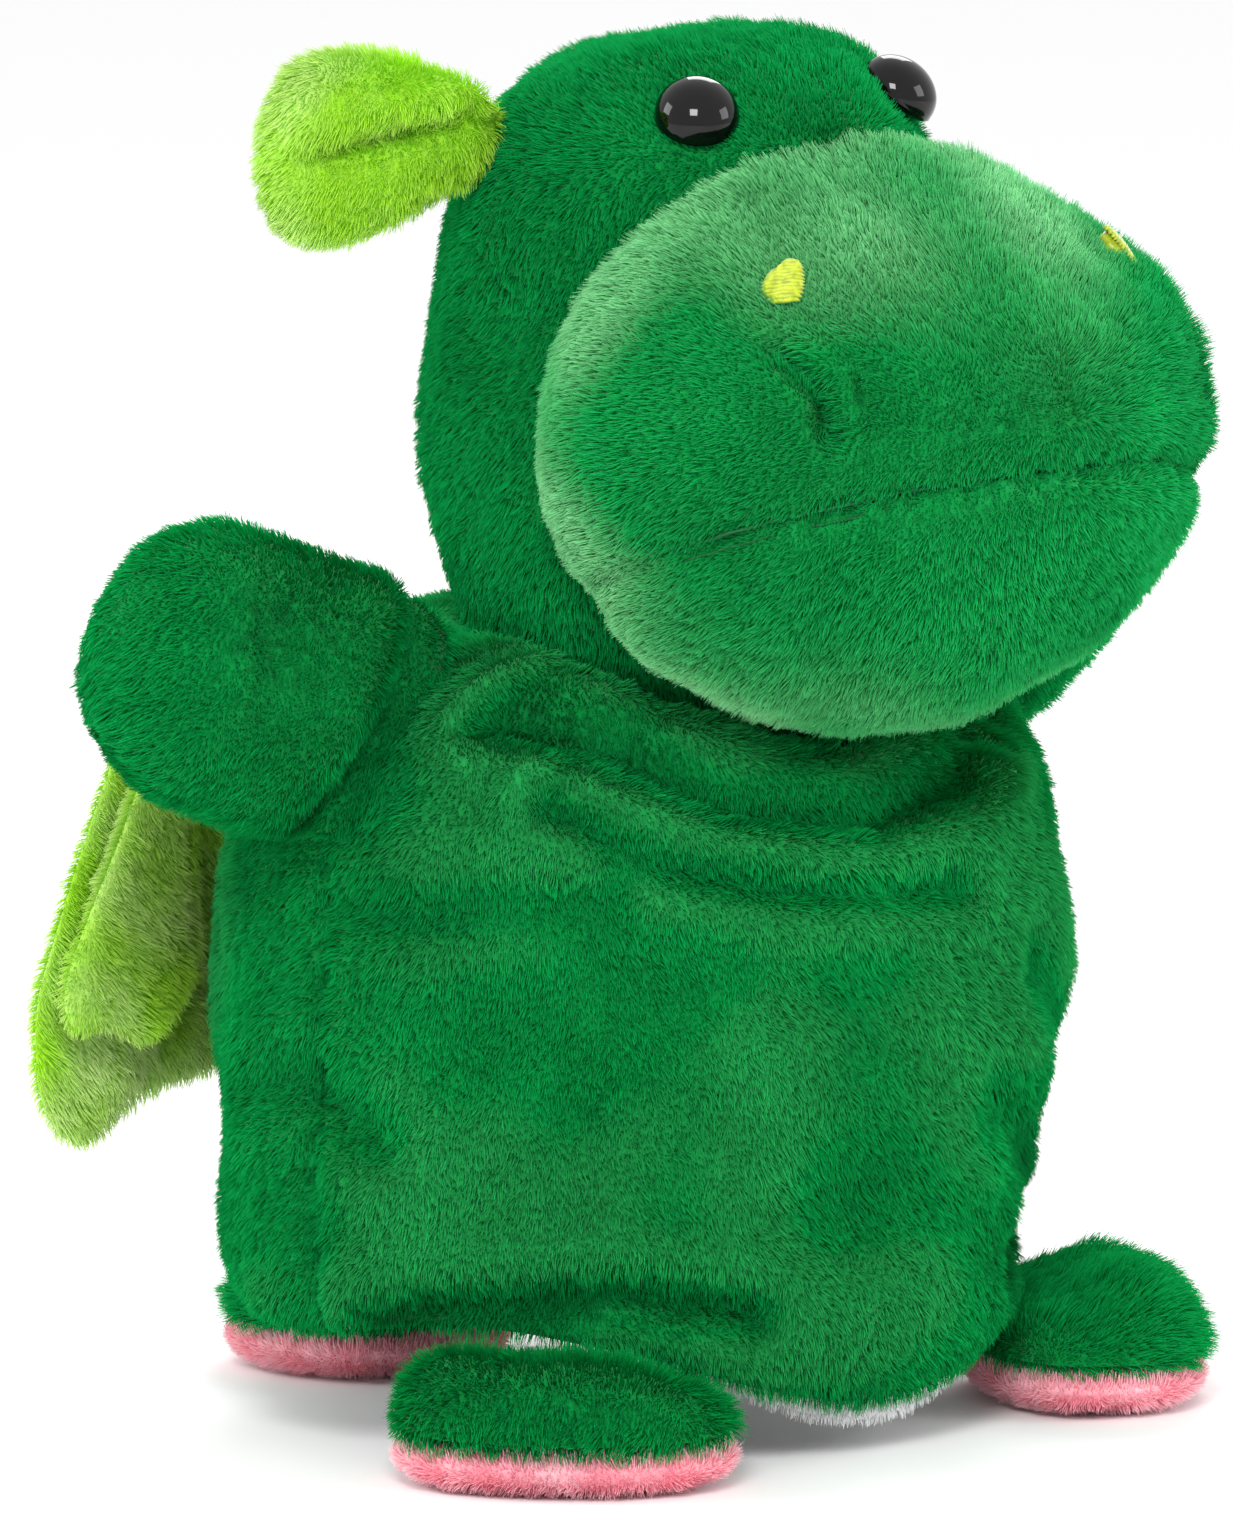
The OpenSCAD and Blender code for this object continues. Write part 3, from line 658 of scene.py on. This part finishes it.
def head_surface(inset, columns=150):
    """Open at the front, where the muzzle is sewn over it."""
    turn = np.radians(np.linspace(0, 180, 361))
    grid = []
    for z, a, b, cy in head_rows(inset):
        ring = np.stack([a * np.sin(turn), cy - b * np.cos(turn), np.full_like(turn, z)], -1)
        outside = muzzle_depth(ring) > 0.93
        start = turn[int(np.argmax(outside))]
        start = min(start, math.radians(max(0.0, (z - 146) * 5.5)))
        phi = np.linspace(start, 2 * math.pi - start, columns)
        row = np.stack([a * np.sin(phi), cy - b * np.cos(phi), np.full_like(phi, z)], -1)
        row[:, 2] += 0.05 * (-row[:, 1] - 6.5) * np.clip((z - 200) / 40, 0, 1)
        grid.append(row)
    return np.array(grid) * MM


def bump_at(points, centre, width, height):
    return height * np.exp(-np.sum((points - np.array(centre)) ** 2, axis=-1) / width ** 2)


def head_lift(points):
    h = 1.2 * lumps(points, 70, 21) + 0.5 * lumps(points, 24, 22)
    for _, side in SIDES:
        h = h + bump_at(points, (side * 25, -31, 238), 11, -2.2) + bump_at(points, (side * 26, -22, 247), 15, 1.8)
        h = h + crease(points, [(side * 50, -4, 219), (side * 51, 0, 231), (side * 48, 4, 243)], 4.0, 1.6)
    h = h + bump_at(points, (0, -36, 246), 13, 1.2)
    h = h + crease(points, [(0, 41, 152), (0, 42, 200), (0, 30, 235), (0, 0, 252), (0, -30, 252)], 2.4, 0.9)
    return (h + 0.6) * np.clip((points[..., 2] - 132) / 22, 0, 1) - 0.6


head_grid = head_surface(PILE_ROOM / MM)
head = shell("head_skin", head_grid, 1.4 * MM, HEAD_MIDDLE, lift=head_lift(head_grid / MM) * MM)


def short_near_eyes(co):
    gap = np.min([np.linalg.norm(co / MM - (side * 25, -31, 238.5), axis=1) for _, side in SIDES], axis=0)
    return 0.75 + 0.25 * np.clip((gap - 7) / 6, 0, 1)


def head_nap(co):
    """Brushed back over the crown and down the sides."""
    top = np.clip((co[:, 2] / MM - 215) / 30, 0, 1)[:, None]
    return down(co) * (1 - top) + np.array([0, 1.0, 0.2]) * top


# the head takes the darker deep copy of the green, painted shade
plush(head, "deep", None, ("head_left_panel", "head_right_panel", "head_stuffing"), nap=head_nap,
      fur=short_near_eyes)
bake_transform(head)

# --- muzzle and jaw


def mouth_height(y, lift):
    """Height of the mouth plane at y, moved up by lift."""
    return JAW_HINGE[2] + (JAW_HINGE[1] - y) * MOUTH_SLOPE + lift


def muzzle_point(tau, omega, shrink):
    r = MUZZLE_R - shrink
    return MUZZLE_C + np.stack([r[0] * np.sin(tau) * np.cos(omega), -r[1] * np.cos(tau) + 0 * omega,
                                r[2] * np.sin(tau) * np.sin(omega)], -1)


def sloped(points):
    """The muzzle's top falls off towards the nose and the sides."""
    x, y, z = points[..., 0] / MM, points[..., 1] / MM, points[..., 2] / MM
    over = z - (233 + 0.62 * (y + 45) - 0.0042 * x * x)
    drop = 0.39 * (over + np.sqrt(over ** 2 + 9))
    return np.stack([points[..., 0], points[..., 1], points[..., 2] - drop * MM], -1)


def head_share(points):
    """Below 1 inside the head's outline at its height, above 1 outside, for points in metres."""
    rows = head_rows(PILE_ROOM / MM)
    half, deep, middle = (np.interp(points[..., 2] / MM, rows[:, 0], rows[:, k]) for k in (1, 2, 3))
    return np.hypot(points[..., 0] / MM / half, (points[..., 1] / MM - middle) / deep)


def muzzle_row(upper, tau, share, shrink):
    """One row across the upper or lower half of the muzzle, at the angle tau from the nose tip."""
    lip = LIP_GAP * (1 if upper else -1)
    y = MUZZLE_C[1] - (MUZZLE_R[1] - shrink) * np.cos(tau)
    part = (mouth_height(y, lip) - MUZZLE_C[2]) / ((MUZZLE_R[2] - shrink) * np.sin(tau))
    edge = np.arcsin(np.clip(part, -0.97, 0.97))
    if upper:
        omega = edge + (math.pi - 2 * edge) * share
    else:
        omega = edge - (math.pi + 2 * edge) * share
    return muzzle_point(tau, omega, shrink)


def muzzle_surface(upper, shrink, rows=110, columns=130):
    """Half of the muzzle, from the nose tip back to where it is sewn to the head."""
    share = np.linspace(0, 1, columns)
    back = np.radians(np.linspace(88, 133, 181))
    reached = np.array([head_share(sloped(muzzle_row(upper, t + 0 * share, share, shrink))) for t in back])
    inside = reached < (0.97 if upper else 0.99)
    tau_end = np.where(inside.any(axis=0), back[np.argmax(inside, axis=0)], back[-1])
    for _ in range(8):
        tau_end[1:-1] = (tau_end[:-2] + 2 * tau_end[1:-1] + tau_end[2:]) / 4
    tip = math.radians(0.8)
    grid = [muzzle_row(upper, tip + (tau_end - tip) * k, share, shrink) for k in np.linspace(0, 1, rows) ** 0.85]
    return sloped(np.array(grid))


def muzzle_lift(points):
    """Fullness, nostril bulges, cheek dimples and the pinched mouth seam, in millimetres."""
    h = 1.3 * lumps(points, 60, 31) + 0.6 * lumps(points, 22, 32)
    for _, side in SIDES:
        h = h + bump_at(points, (side * 43, -76, 211), 17, 0.5)
        h = h + bump_at(points, (side * 64, -40, 186), 22, 1.6)
        fold = [(side * 48.5, -75, 202), (side * 45.5, -81.7, 196.3), (side * 45.5, -84.3, 188.5)]
        h = h + crease(points, fold, 2.3, 4.2, 0.12)
        h = h + bump_at(points, (side * 58, -66, 190), 14, 1.6)
    h = h + bump_at(points, (0, -98, 196), 18, 1.2)
    h = h - 2.2 * np.clip((150 - points[..., 2]) / 24, 0, 1)
    seam = np.abs(points[..., 2] - mouth_height(points[..., 1] * MM, 0) / MM)
    fade = np.clip((-points[..., 1] - 30) / 24, 0, 1)
    pucker = 0.75 + 0.3 * np.sin(points[..., 0] * 0.55 + 1) + 0.2 * np.sin(points[..., 0] * 1.3)
    h = h - fade * pucker * 2.6 * np.exp(-(seam / 2.6) ** 2) + fade * 0.7 * np.exp(-((seam - 8) / 4) ** 2)
    back = np.clip((points[..., 1] + 49) / 22, 0, 1)
    return h - 0.8 * back * back


def seam_distance(co):
    return np.abs(co[:, 2] - mouth_height(co[:, 1], 0)) / MM


def muzzle_fur(co):
    points = co / MM
    near = 0.55 + 0.45 * np.clip(seam_distance(co) / 4, 0, 1)
    for _, side in SIDES:
        near = near * (1 - bump_at(points, (side * 41, -68.4, 212), 22 ** 0.5, 0.8))
    return near


def muzzle_sheen_and_shade(co):
    """Painted sheen: paler along the head seam, under the chin and over the top, where the pile is brushed back;
    painted shade in a ring round the cheek puffs.
    """
    points = co / MM
    edge = np.exp(-((points[:, 1] + 32) / 17) ** 2) * 1.15
    chin = np.exp(-((points[:, 2] - 132) / 12) ** 2) * 0.85 * np.clip((points[:, 1] + 92) / 30, 0.15, 1)
    top = np.exp(-((points[:, 2] - 222) / 17) ** 2) * 1.0
    # painted shade: a darker ring round each cheek puff
    ring = np.exp(-((np.hypot(points[:, 1] + 66, points[:, 2] - 190) - 17) / 9) ** 2) * 0.35
    patch = 0.8 + 0.45 * lumps(points, 34, 77)
    return np.clip((edge + chin + top) * patch - ring, -0.5, 1)


def muzzle_nap(co):
    """Swept from the nose back and down over the cheeks."""
    points = co / MM
    flow = np.stack([points[:, 0] * 0.012, np.full(len(co), 0.75), (points[:, 2] - 205) * 0.012], -1)
    return flow


for name, upper, node in (("muzzle_skin", True, "muzzle_cover"), ("jaw_skin", False, "jaw_cover")):
    grid = muzzle_surface(upper, PILE_ROOM)
    skin = shell(name, grid, 1.4 * MM, MUZZLE_C, lift=muzzle_lift(grid / MM) * MM)
    plush(skin, "muzzle", "head" if upper else None, (node, node.split("_")[0] + "_stuffing"), nap=muzzle_nap,
          fur=muzzle_fur, frost=muzzle_sheen_and_shade)
    if not upper:
        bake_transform(skin)


def mouth_sheet(name, node, body, lift, colour):
    """Fabric of the roof or the floor of the mouth, out to the lips, a little puckered."""
    rows, columns = 60, 50
    y = np.linspace(-98.5, -43, rows)[:, None] * MM
    height = mouth_height(y, lift)
    wide, deep, high = MUZZLE_R - LIP_INSET
    inside = 1 - ((y - MUZZLE_C[1]) / deep) ** 2 - ((height - MUZZLE_C[2]) / high) ** 2
    half = wide * np.sqrt(np.maximum(inside, 0.001))
    share = np.linspace(-1, 1, columns)[None, :]
    x = half * share
    points = np.stack([x, y + 0 * x, height + 0 * x], -1)
    wave = 0.25 * lumps(points / MM, 16, 41) + 0.2 * np.sin(points[..., 1] / MM * 0.9) * np.abs(share) ** 4
    points[..., 2] += wave * MM * 0.5
    obj = shell(name, points, 0.5 * MM, (0, -0.07, 0.17 + (-1 if lift < 0 else 1) * 1.0))
    obj.data.materials.append(colour)
    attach(obj, body)
    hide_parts(node)
    return obj


mouth_cloth = cloth_material("mouth_fabric", srgb(0, 104, 48), 420.0)
mouth_sheet("mouth_roof", "mouth_roof_lining", "head", 1.0 * MM, mouth_cloth)
mouth_sheet("mouth_floor", "mouth_floor_lining", "jaw", -1.0 * MM, mouth_cloth)

# --- eyes and nostrils


def frame_of(origin, z_axis, x_hint):
    """Columns x, y, z and the origin of a small local frame."""
    z = Vector(z_axis).normalized()
    x = Vector(x_hint)
    x = (x - z * x.dot(z)).normalized()
    y = z.cross(x)
    return np.array([x, y, z]), np.array(origin)


def place(points, local):
    axes, origin = local
    return points @ axes + origin


def lathe(name, profile, local, sides=48):
    """A turned solid round the local z axis through (radius, height) pairs."""
    angle = np.linspace(0, 2 * math.pi, sides, endpoint=False)
    rings = np.array([np.stack([r * np.cos(angle), r * np.sin(angle), np.full(sides, h)], -1) for r, h in profile])
    return solid_mesh(name, place(rings * MM, local), local[1] + local[0][2] * MM)


eye_gloss = plastic_material("eye_plastic", srgb(4, 4, 5), 0.05, 0.0, specular=0.32)
for name, side in SIDES:
    look = (side * math.sin(math.radians(24)), -math.sin(math.radians(32)), math.cos(math.radians(32)))
    local = frame_of(tuple(np.array([side * 25, -30.8, 238.0]) * MM), look, (1, 0, 0))
    radius, rise = 7.5, 6.3
    dome = [(radius * math.cos(t), 0.6 + rise * math.sin(t)) for t in np.radians(np.linspace(0, 88, 22))]
    eye = lathe("eye_dome_" + name, [(2, -9), (2, -0.4), (6.9, -0.4), (7.4, 0.0), (7.6, 0.3)] + dome, local)
    eye.data.materials.append(eye_gloss)
    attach(eye, "head")
    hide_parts("eye_" + name)


def joined(name, parts):
    """One object from several (vertices, faces) parts."""
    verts, faces = [], []
    for v, f in parts:
        faces += [tuple(i + len(verts) for i in face) for face in f]
        verts += [tuple(p) for p in v]
    return new_object(name, verts, faces)


def rod(path, radius, sides=8):
    """Vertices and faces of a thread that tapers into both ends of a path."""
    path = np.array(path)
    along = np.gradient(path, axis=0)
    along /= np.linalg.norm(along, axis=1, keepdims=True)
    up = np.cross(along, np.array([0.3, 0.2, 1.0]))
    up /= np.linalg.norm(up, axis=1, keepdims=True)
    side = np.cross(along, up)
    share = np.linspace(-1, 1, len(path))
    girth = radius * np.sqrt(np.maximum(1 - share ** 6, 0.05))
    angle = np.linspace(0, 2 * math.pi, sides, endpoint=False)
    rings = path[:, None] + girth[:, None, None] * (np.cos(angle)[None, :, None] * up[:, None]
                                                  + np.sin(angle)[None, :, None] * side[:, None])
    faces = [(i * sides + j, (i + 1) * sides + j, (i + 1) * sides + (j + 1) % sides, i * sides + (j + 1) % sides)
             for i in range(len(path) - 1) for j in range(sides)]
    faces += [tuple(range(sides)), tuple(range(len(path) * sides - 1, (len(path) - 1) * sides - 1, -1))]
    return rings.reshape(-1, 3), faces


satin = thread_material("satin_thread", srgb(186, 204, 8))
for name, side in SIDES:
    outward = np.array([side * 0.617, -0.48, 0.62])
    seat = sloped(muzzle_point(math.radians(68.0), math.radians(90 - side * 44.5), PILE_ROOM))
    seat = seat + outward * (float(muzzle_lift(seat / MM)) + 0.1) * MM
    local = frame_of(tuple(seat), outward, (-side * 0.7, -0.7, 0))
    parts = []
    rows = 12
    for k in range(rows):
        share = k / (rows - 1)
        v = (4.1 - 7.8 * share) * (1 if local[0][1][2] > 0 else -1)
        right = 3.6 * (1 - 0.25 * abs(2 * share - 1) ** 3)
        left = -5.4 * math.sin(math.pi * (0.12 + 0.62 * share)) ** 1.2 + 1.2
        u = np.linspace(left, right, 14)
        half = (right - left) / 2
        crown = 1.3 * np.sqrt(np.maximum(0.04, 1 - ((u - left - half) / (half * 1.05)) ** 2)) \
            * (1 - 0.3 * abs(2 * share - 1) ** 2)
        wave = 0.12 * np.sin(u * 2 + k)
        parts.append(rod(place(np.stack([u, v + wave + 0.08 * u, crown + 0.7], -1) * MM, local), 0.48 * MM))
    base = np.linspace(0, 2 * math.pi, 20, endpoint=False)
    ring = np.stack([3.4 * np.cos(base) - 0.2, 3.6 * np.sin(base), np.full(20, 1.2)], -1)
    low = np.concatenate([ring, ring * [1, 1, 0] - [0, 0, 1.2]])
    faces = [(j, j + 20, (j + 1) % 20 + 20, (j + 1) % 20) for j in range(20)]
    faces += [tuple(range(20)), tuple(range(39, 19, -1))]
    parts.append((place(low * MM, local), faces))
    nostril = joined("nostril_thread_" + name, parts)
    nostril.data.materials.append(satin)
    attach(nostril, "head")
    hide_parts("nostril_" + name)

# --- arms and ears


def turned(side, root, tilt, swing):
    """Local frame of a limb that leaves the body along +X on the left, mirrored on the right."""
    tilt, swing = math.radians(tilt), math.radians(swing)
    x = np.array([math.cos(tilt) * math.cos(swing), math.cos(tilt) * math.sin(swing), -math.sin(tilt)])
    z = np.array([math.sin(tilt) * math.cos(swing), math.sin(tilt) * math.sin(swing), math.cos(tilt)])
    y = np.cross(z, x)
    axes = np.array([x, y, z])
    axes[:, 0] *= side
    return axes, np.array([side * root[0], root[1], root[2]]) * MM


def paddle(name, side, local, profile, flat, sides=96, rows=64, shape=None):
    """A stuffed limb: rings of (distance, half height) along the local x axis."""
    profile = np.array(profile, float)
    s = np.linspace(0, 1, rows) ** 0.8
    length = np.concatenate([[0], np.cumsum(np.hypot(np.diff(profile[:, 0]), np.diff(profile[:, 1])))])
    x = np.interp(s * length[-1], length, profile[:, 0])
    r = np.interp(s * length[-1], length, profile[:, 1])
    for _ in range(6):
        x[1:-1] = (x[:-2] + 2 * x[1:-1] + x[2:]) / 4
        r[1:-1] = (r[:-2] + 2 * r[1:-1] + r[2:]) / 4
    angle = np.linspace(0, 2 * math.pi, sides, endpoint=False)
    cos, sin = np.cos(angle)[None, :], np.sin(angle)[None, :]
    grid = np.stack([x[:, None] + 0 * cos, flat * r[:, None] * sin, r[:, None] * cos], -1)
    if shape is not None:
        grid = shape(grid)
    world = place(grid * MM, local)
    return solid_mesh(name, world, place(np.array([profile[:, 0].mean(), 0, 0]) * MM, local))


ARM_PROFILE = [(-15, 19.0), (-9, 23.5), (-3, 25.5), (8, 25.6), (22, 26.0), (33, 25.2), (42, 20.5), (47, 14.0),
               (50, 5.5), (50.6, 0.4)]
EAR_PROFILE = [(-9, 2.5), (-4, 8.0), (2, 11.0), (9, 13.0), (17, 16.0), (26, 17.4), (33, 16.4), (38, 12.3), (40.6, 6.0),
               (41.2, 0.4)]


LIMB_FALL = np.array([0, 0, -0.5])
ARM_ROOT, EAR_ROOT = (75, 7, 134), (46, 7, 233)
ARM_HANG = (-19, 17)
EAR_HANG = {"left": (36, 32), "right": (2, 10)}  # degrees of droop and of backward sweep


def arm_seam(height):
    """Where the arm is sewn to the shoulder, further out below: millimetres along its axis."""
    return 0.5 - 0.17 * height


def arm_shape(grid):
    """Fuller above, sewn flat and pinched at the shoulder seam, a few soft dents."""
    x, y, z = grid[..., 0], grid[..., 1], grid[..., 2]
    swell = 1 + 0.035 * lumps(grid, 38, 51) + 0.02 * lumps(grid, 16, 52)
    pinch = 1 - 0.1 * np.exp(-((x + 4) / 2.4) ** 2)
    sewn = np.clip((x - arm_seam(z)) / 13, 0, 1)
    sewn = 0.3 + 0.7 * np.sqrt(sewn * (2 - sewn))
    z = z * swell * pinch * np.where(z > 0, 1.04, 1.0)
    x = x + 0.25 * np.maximum(0, -z) * np.clip((14 - x) / 20, 0, 1)
    return np.stack([x, y * swell * pinch * sewn, z], -1)


def ear_shape(grid):
    """Folded along its length: a smooth roll above, a crease, and a looser lobe below that hangs at the end."""
    x, y, z = grid[..., 0], grid[..., 1], grid[..., 2]
    share = np.clip(x / 42, 0, 1)
    front = y < 0
    line = 3.0 - 3.5 * share
    crease_depth = 5.0 * np.exp(-((z - line) / 3.0) ** 2) * np.sin(math.pi * np.clip(share * 0.85 + 0.12, 0, 1))
    y = y + np.where(front, crease_depth, -0.5 * crease_depth)
    roll = np.exp(-((z - line - 9) / 7) ** 2) * (0.4 + 0.6 * share)
    y = y - np.where(front, 3.0 * roll, -1.5 * roll)
    lower = np.clip((line - z) / 12, 0, 1)
    z = z - 2.5 * lower * share ** 1.5 + 1.5
    x = x + 1.5 * lower * share - 2.5 * share ** 3 * np.clip(z / 12, 0, 1)
    swell = 1 + 0.05 * lumps(grid, 20, 61)
    return np.stack([x, y * swell, z], -1)


for name, side in SIDES:
    local = turned(side, ARM_ROOT, *ARM_HANG)
    arm = paddle("arm_skin_" + name, side, local, [(a, max(0.3, b - PILE_ROOM / MM)) for a, b in ARM_PROFILE], 0.84,
                 shape=arm_shape)
    axis = local[0][0]

    # painted shade: a dark line in the groove of the shoulder seam
    def arm_seam_shade(co, local=local):
        around = (co - local[1]) @ local[0].T / MM
        return -0.75 * np.exp(-((around[:, 0] - arm_seam(around[:, 2])) / 3.0) ** 2)

    plush(arm, "green", None, ("arm_%s_front" % name, "arm_%s_back" % name), frost=arm_seam_shade,
          nap=along(axis * 0.8 + LIMB_FALL))
    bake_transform(arm)
    local = turned(side, EAR_ROOT, *EAR_HANG[name])
    ear = paddle("ear_skin_" + name, side, local, [(a, max(0.3, b - 1.6)) for a, b in EAR_PROFILE], 0.5,
                 shape=ear_shape)
    ear_axis = local[0][0]

    def ear_frost(co, local=local):
        around = (co - local[1]) @ local[0].T / MM
        rim = np.clip((np.hypot(np.maximum(around[:, 0] - 18, 0) / 28, around[:, 2] / 19) - 0.75) / 0.3, 0, 1)
        return np.clip(rim * 0.8 + 0.15 * lumps(co / MM, 15, 66), 0, 1)

    plush(ear, "lime", None, ("ear_%s_front" % name, "ear_%s_back" % name, "ear_%s_wadding" % name), frost=ear_frost,
          nap=along(ear_axis * 0.8 + LIMB_FALL))
    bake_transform(ear)

# --- leaves, feet and tail


def smooth_outline(points, count=140, rounds=2):
    """A closed outline through its corners, cut round, with even steps."""
    pts = np.array(points, float)
    for _ in range(rounds):
        nxt = np.roll(pts, -1, 0)
        pts = np.stack([0.78 * pts + 0.22 * nxt, 0.22 * pts + 0.78 * nxt], 1).reshape(-1, 2)
    closed = np.vstack([pts, pts[:1]])
    length = np.concatenate([[0], np.cumsum(np.hypot(*np.diff(closed, axis=0).T))])
    at = np.linspace(0, length[-1], count, endpoint=False)
    return np.stack([np.interp(at, length, closed[:, 0]), np.interp(at, length, closed[:, 1])], -1)


def pillow(name, outline, hub, above, below, to_world, rings=22, dimple=None):
    """A closed puffy leaf: an outline in a plane, full in the middle, thin at its sewn edge."""
    outline = np.array(outline)
    hub = np.array(hub, float)
    shares = np.sin(np.linspace(0.06, 1, rings) * math.pi / 2)
    layers = []
    for sign, thick, order in ((1, above, shares), (-1, below, shares[::-1])):
        for k in order:
            flat = hub + (outline - hub) * k
            puff = sign * thick * (1 - k ** 5) ** 0.6
            height = np.full(len(flat), puff)
            if dimple is not None:
                height = height + dimple(flat) * (1 - k ** 8)
            if sign < 0 and k == 1:
                continue
            layers.append(np.stack([flat[:, 0], flat[:, 1], height], -1))
    grid = np.array(layers)
    world = to_world(grid)
    return solid_mesh(name, world, world.reshape(-1, 3).mean(axis=0))


def wing_place(side, depth, curl):
    """From the wing's own plane (out from the middle, up, forward) in millimetres to the world."""
    def to_world(grid):
        out, up, fore = grid[..., 0], grid[..., 1], grid[..., 2]
        swing = math.radians(8)
        away = depth + curl(out, up) - fore
        x = 22 + out * math.cos(swing)
        y = 77.3 - out * math.sin(swing) + away
        return np.stack([side * x, y, up], -1) * MM
    return to_world


WING_BACK = [(0, 66), (0, 132), (16, 140), (34, 130), (47, 110), (60, 90), (69, 75), (68, 59), (61, 51), (52, 49),
             (45, 53), (39, 56), (30, 57), (18, 57), (8, 60)]
WING_FLAP = [(27, 118), (36, 130), (46, 113), (58, 95), (69, 78), (67, 71), (59, 73), (50, 68), (40, 72), (29, 80),
             (29, 95)]
for name, side in SIDES:
    back = pillow("wing_back_" + name, smooth_outline(WING_BACK), (33, 92), 2.2, 1.8,
                  wing_place(side, 5.5, lambda out, up: 1.5 * np.sin(out / 17 + 1) + 1.2 * np.sin(up / 14)),
                  dimple=lambda flat: 0.6 * np.sin(flat[:, 0] / 6) + 0.4 * np.sin(flat[:, 1] / 8))
    flap = pillow("wing_flap_" + name, smooth_outline(WING_FLAP), (45, 94), 2.6, 1.6,
                  wing_place(side, -2.0, lambda out, up: -4.0 * np.clip((96 - up) / 26, 0, 1) ** 2
                             + 2.0 * np.sin(out / 11)),
                  dimple=lambda flat: 0.7 * np.sin(flat[:, 0] / 5 + 1) - 1.3 * np.exp(-((flat[:, 0] - 34.0) / 1.3) ** 2))

    def wing_frost(co, side=side):
        return np.clip(0.25 + 0.35 * lumps(co / MM, 18, 71) + np.clip((74 - co[:, 2] / MM) / 14, 0, 1) * 0.5, 0, 1)

    plush(back, "lime", "wing_" + name, ("wing_%s_back" % name, "wing_%s_wadding" % name), frost=wing_frost,
          length=0.9)
    plush(flap, "lime", "wing_" + name, ("wing_%s_front" % name,), frost=wing_frost, length=0.9)


FOOT_HINGE, TAIL_HINGE = (51, -28), (0, 57)  # middle of each hinge line in x and y, in millimetres
FOOT_TURN = -34.3  # degrees


def oval(reach, half_w, shrink, count=120):
    angle = np.linspace(0, 2 * math.pi, count, endpoint=False)
    middle = reach / 2 - 1.5
    c, s = np.cos(angle), np.sin(angle)
    return np.stack([middle + (middle + 3 - shrink) * np.sign(c) * np.abs(c) ** 0.85,
                     (half_w - shrink) * np.sign(s) * np.abs(s) ** 0.85], -1), (middle, 0)


def flap_place(side, hinge, turn):
    turn = math.radians(turn)

    def to_world(grid):
        r, t, z = grid[..., 0], grid[..., 1], grid[..., 2]
        x = hinge[0] + r * math.cos(turn) - t * math.sin(turn)
        y = hinge[1] + r * math.sin(turn) + t * math.cos(turn)
        return np.stack([side * x, y, z], -1) * MM
    return to_world


def flap(name, side, body, hinge, turn, reach, half_w, nodes, height):
    """A padded foot or tail flap: green pile above, pink sole below."""
    outline, hub = oval(reach, half_w, 1.6)
    to_world = flap_place(side, hinge, turn)
    wob = 1 + 0.025 * np.sin(np.linspace(0, 6 * math.pi, len(outline), endpoint=False) + 1)
    outline = (outline - np.array(hub)) * wob[:, None] + np.array(hub)
    sole = pillow("sole_" + name, outline, hub, 4.6, 4.4, lambda g: to_world(g + np.array([0, 0, 5.3])))
    plush(sole, "pink", body, (nodes[1],), length=0.75, nap=along([0, 0, 0.3]),
          frost=lambda co: np.clip(0.3 + 0.5 * lumps(co / MM, 12, 81), 0, 1))

    def crown(grid):
        r, t, z = grid[..., 0], grid[..., 1], grid[..., 2]
        full = np.clip(z / 8, 0, 1)
        high = np.where(z > 0, z * (1 + 0.2 * t / half_w), z)
        slope = np.clip((reach - r) / reach, 0, 1) * 2.0
        inner = np.clip((r - 13) / 12, 0, 1)
        return to_world(np.stack([r, t, 10.0 + high * (0.6 + 0.4 * inner) + slope * full], -1))

    top = pillow("pad_" + name, (outline - np.array(hub)) * 0.985 + np.array(hub), hub, height, 0.6, crown,
                 dimple=lambda flat: 0.7 * np.sin(flat[:, 1] / 5) * np.cos(flat[:, 0] / 7))
    axis = np.array([side * math.cos(math.radians(turn)), math.sin(math.radians(turn)), -0.25])
    plush(top, "green", body, (nodes[0], nodes[0].replace("_top", "_wadding")), length=1.35, nap=along(axis))


for name, side in SIDES:
    foot = "foot_" + name
    flap(foot, side, foot, FOOT_HINGE, FOOT_TURN, 40, 31, (foot + "_top", foot + "_sole"), 12.2)
flap("tail", 1, "tail", TAIL_HINGE, 90, 45.5, 26, ("tail_top", "tail_sole"), 8.6)

# --- materials of the inner CAD pieces

INNER = {
    "lining_fabric": cloth_material("lining_fabric", srgb(236, 234, 228), 500.0),
    "mouth_fabric": mouth_cloth,
    "fibre_fill": plush_material("fibre_fill", srgb(214, 212, 204), srgb(238, 236, 228), srgb(250, 250, 246),
                                 srgb(255, 255, 255)),
    "stiffener": plastic_material("stiffener", srgb(150, 150, 146), 0.6, 0.0),
    "washer_plastic": plastic_material("washer_plastic", srgb(232, 232, 230), 0.4, 0.1),
    "eye_plastic": eye_gloss,
    "satin_thread": satin,
}
slot_of_node = {row["node"]: row["material_slot"] for row in frame["record"]["subparts"]}
for name, obj in frame["nodes"].items():
    slot = slot_of_node.get(name)
    finish = INNER.get(slot) or SKIN[{v: k for k, v in SLOT_OF.items()}.get(slot, "white")]
    for held in obj.material_slots:
        held.material = finish
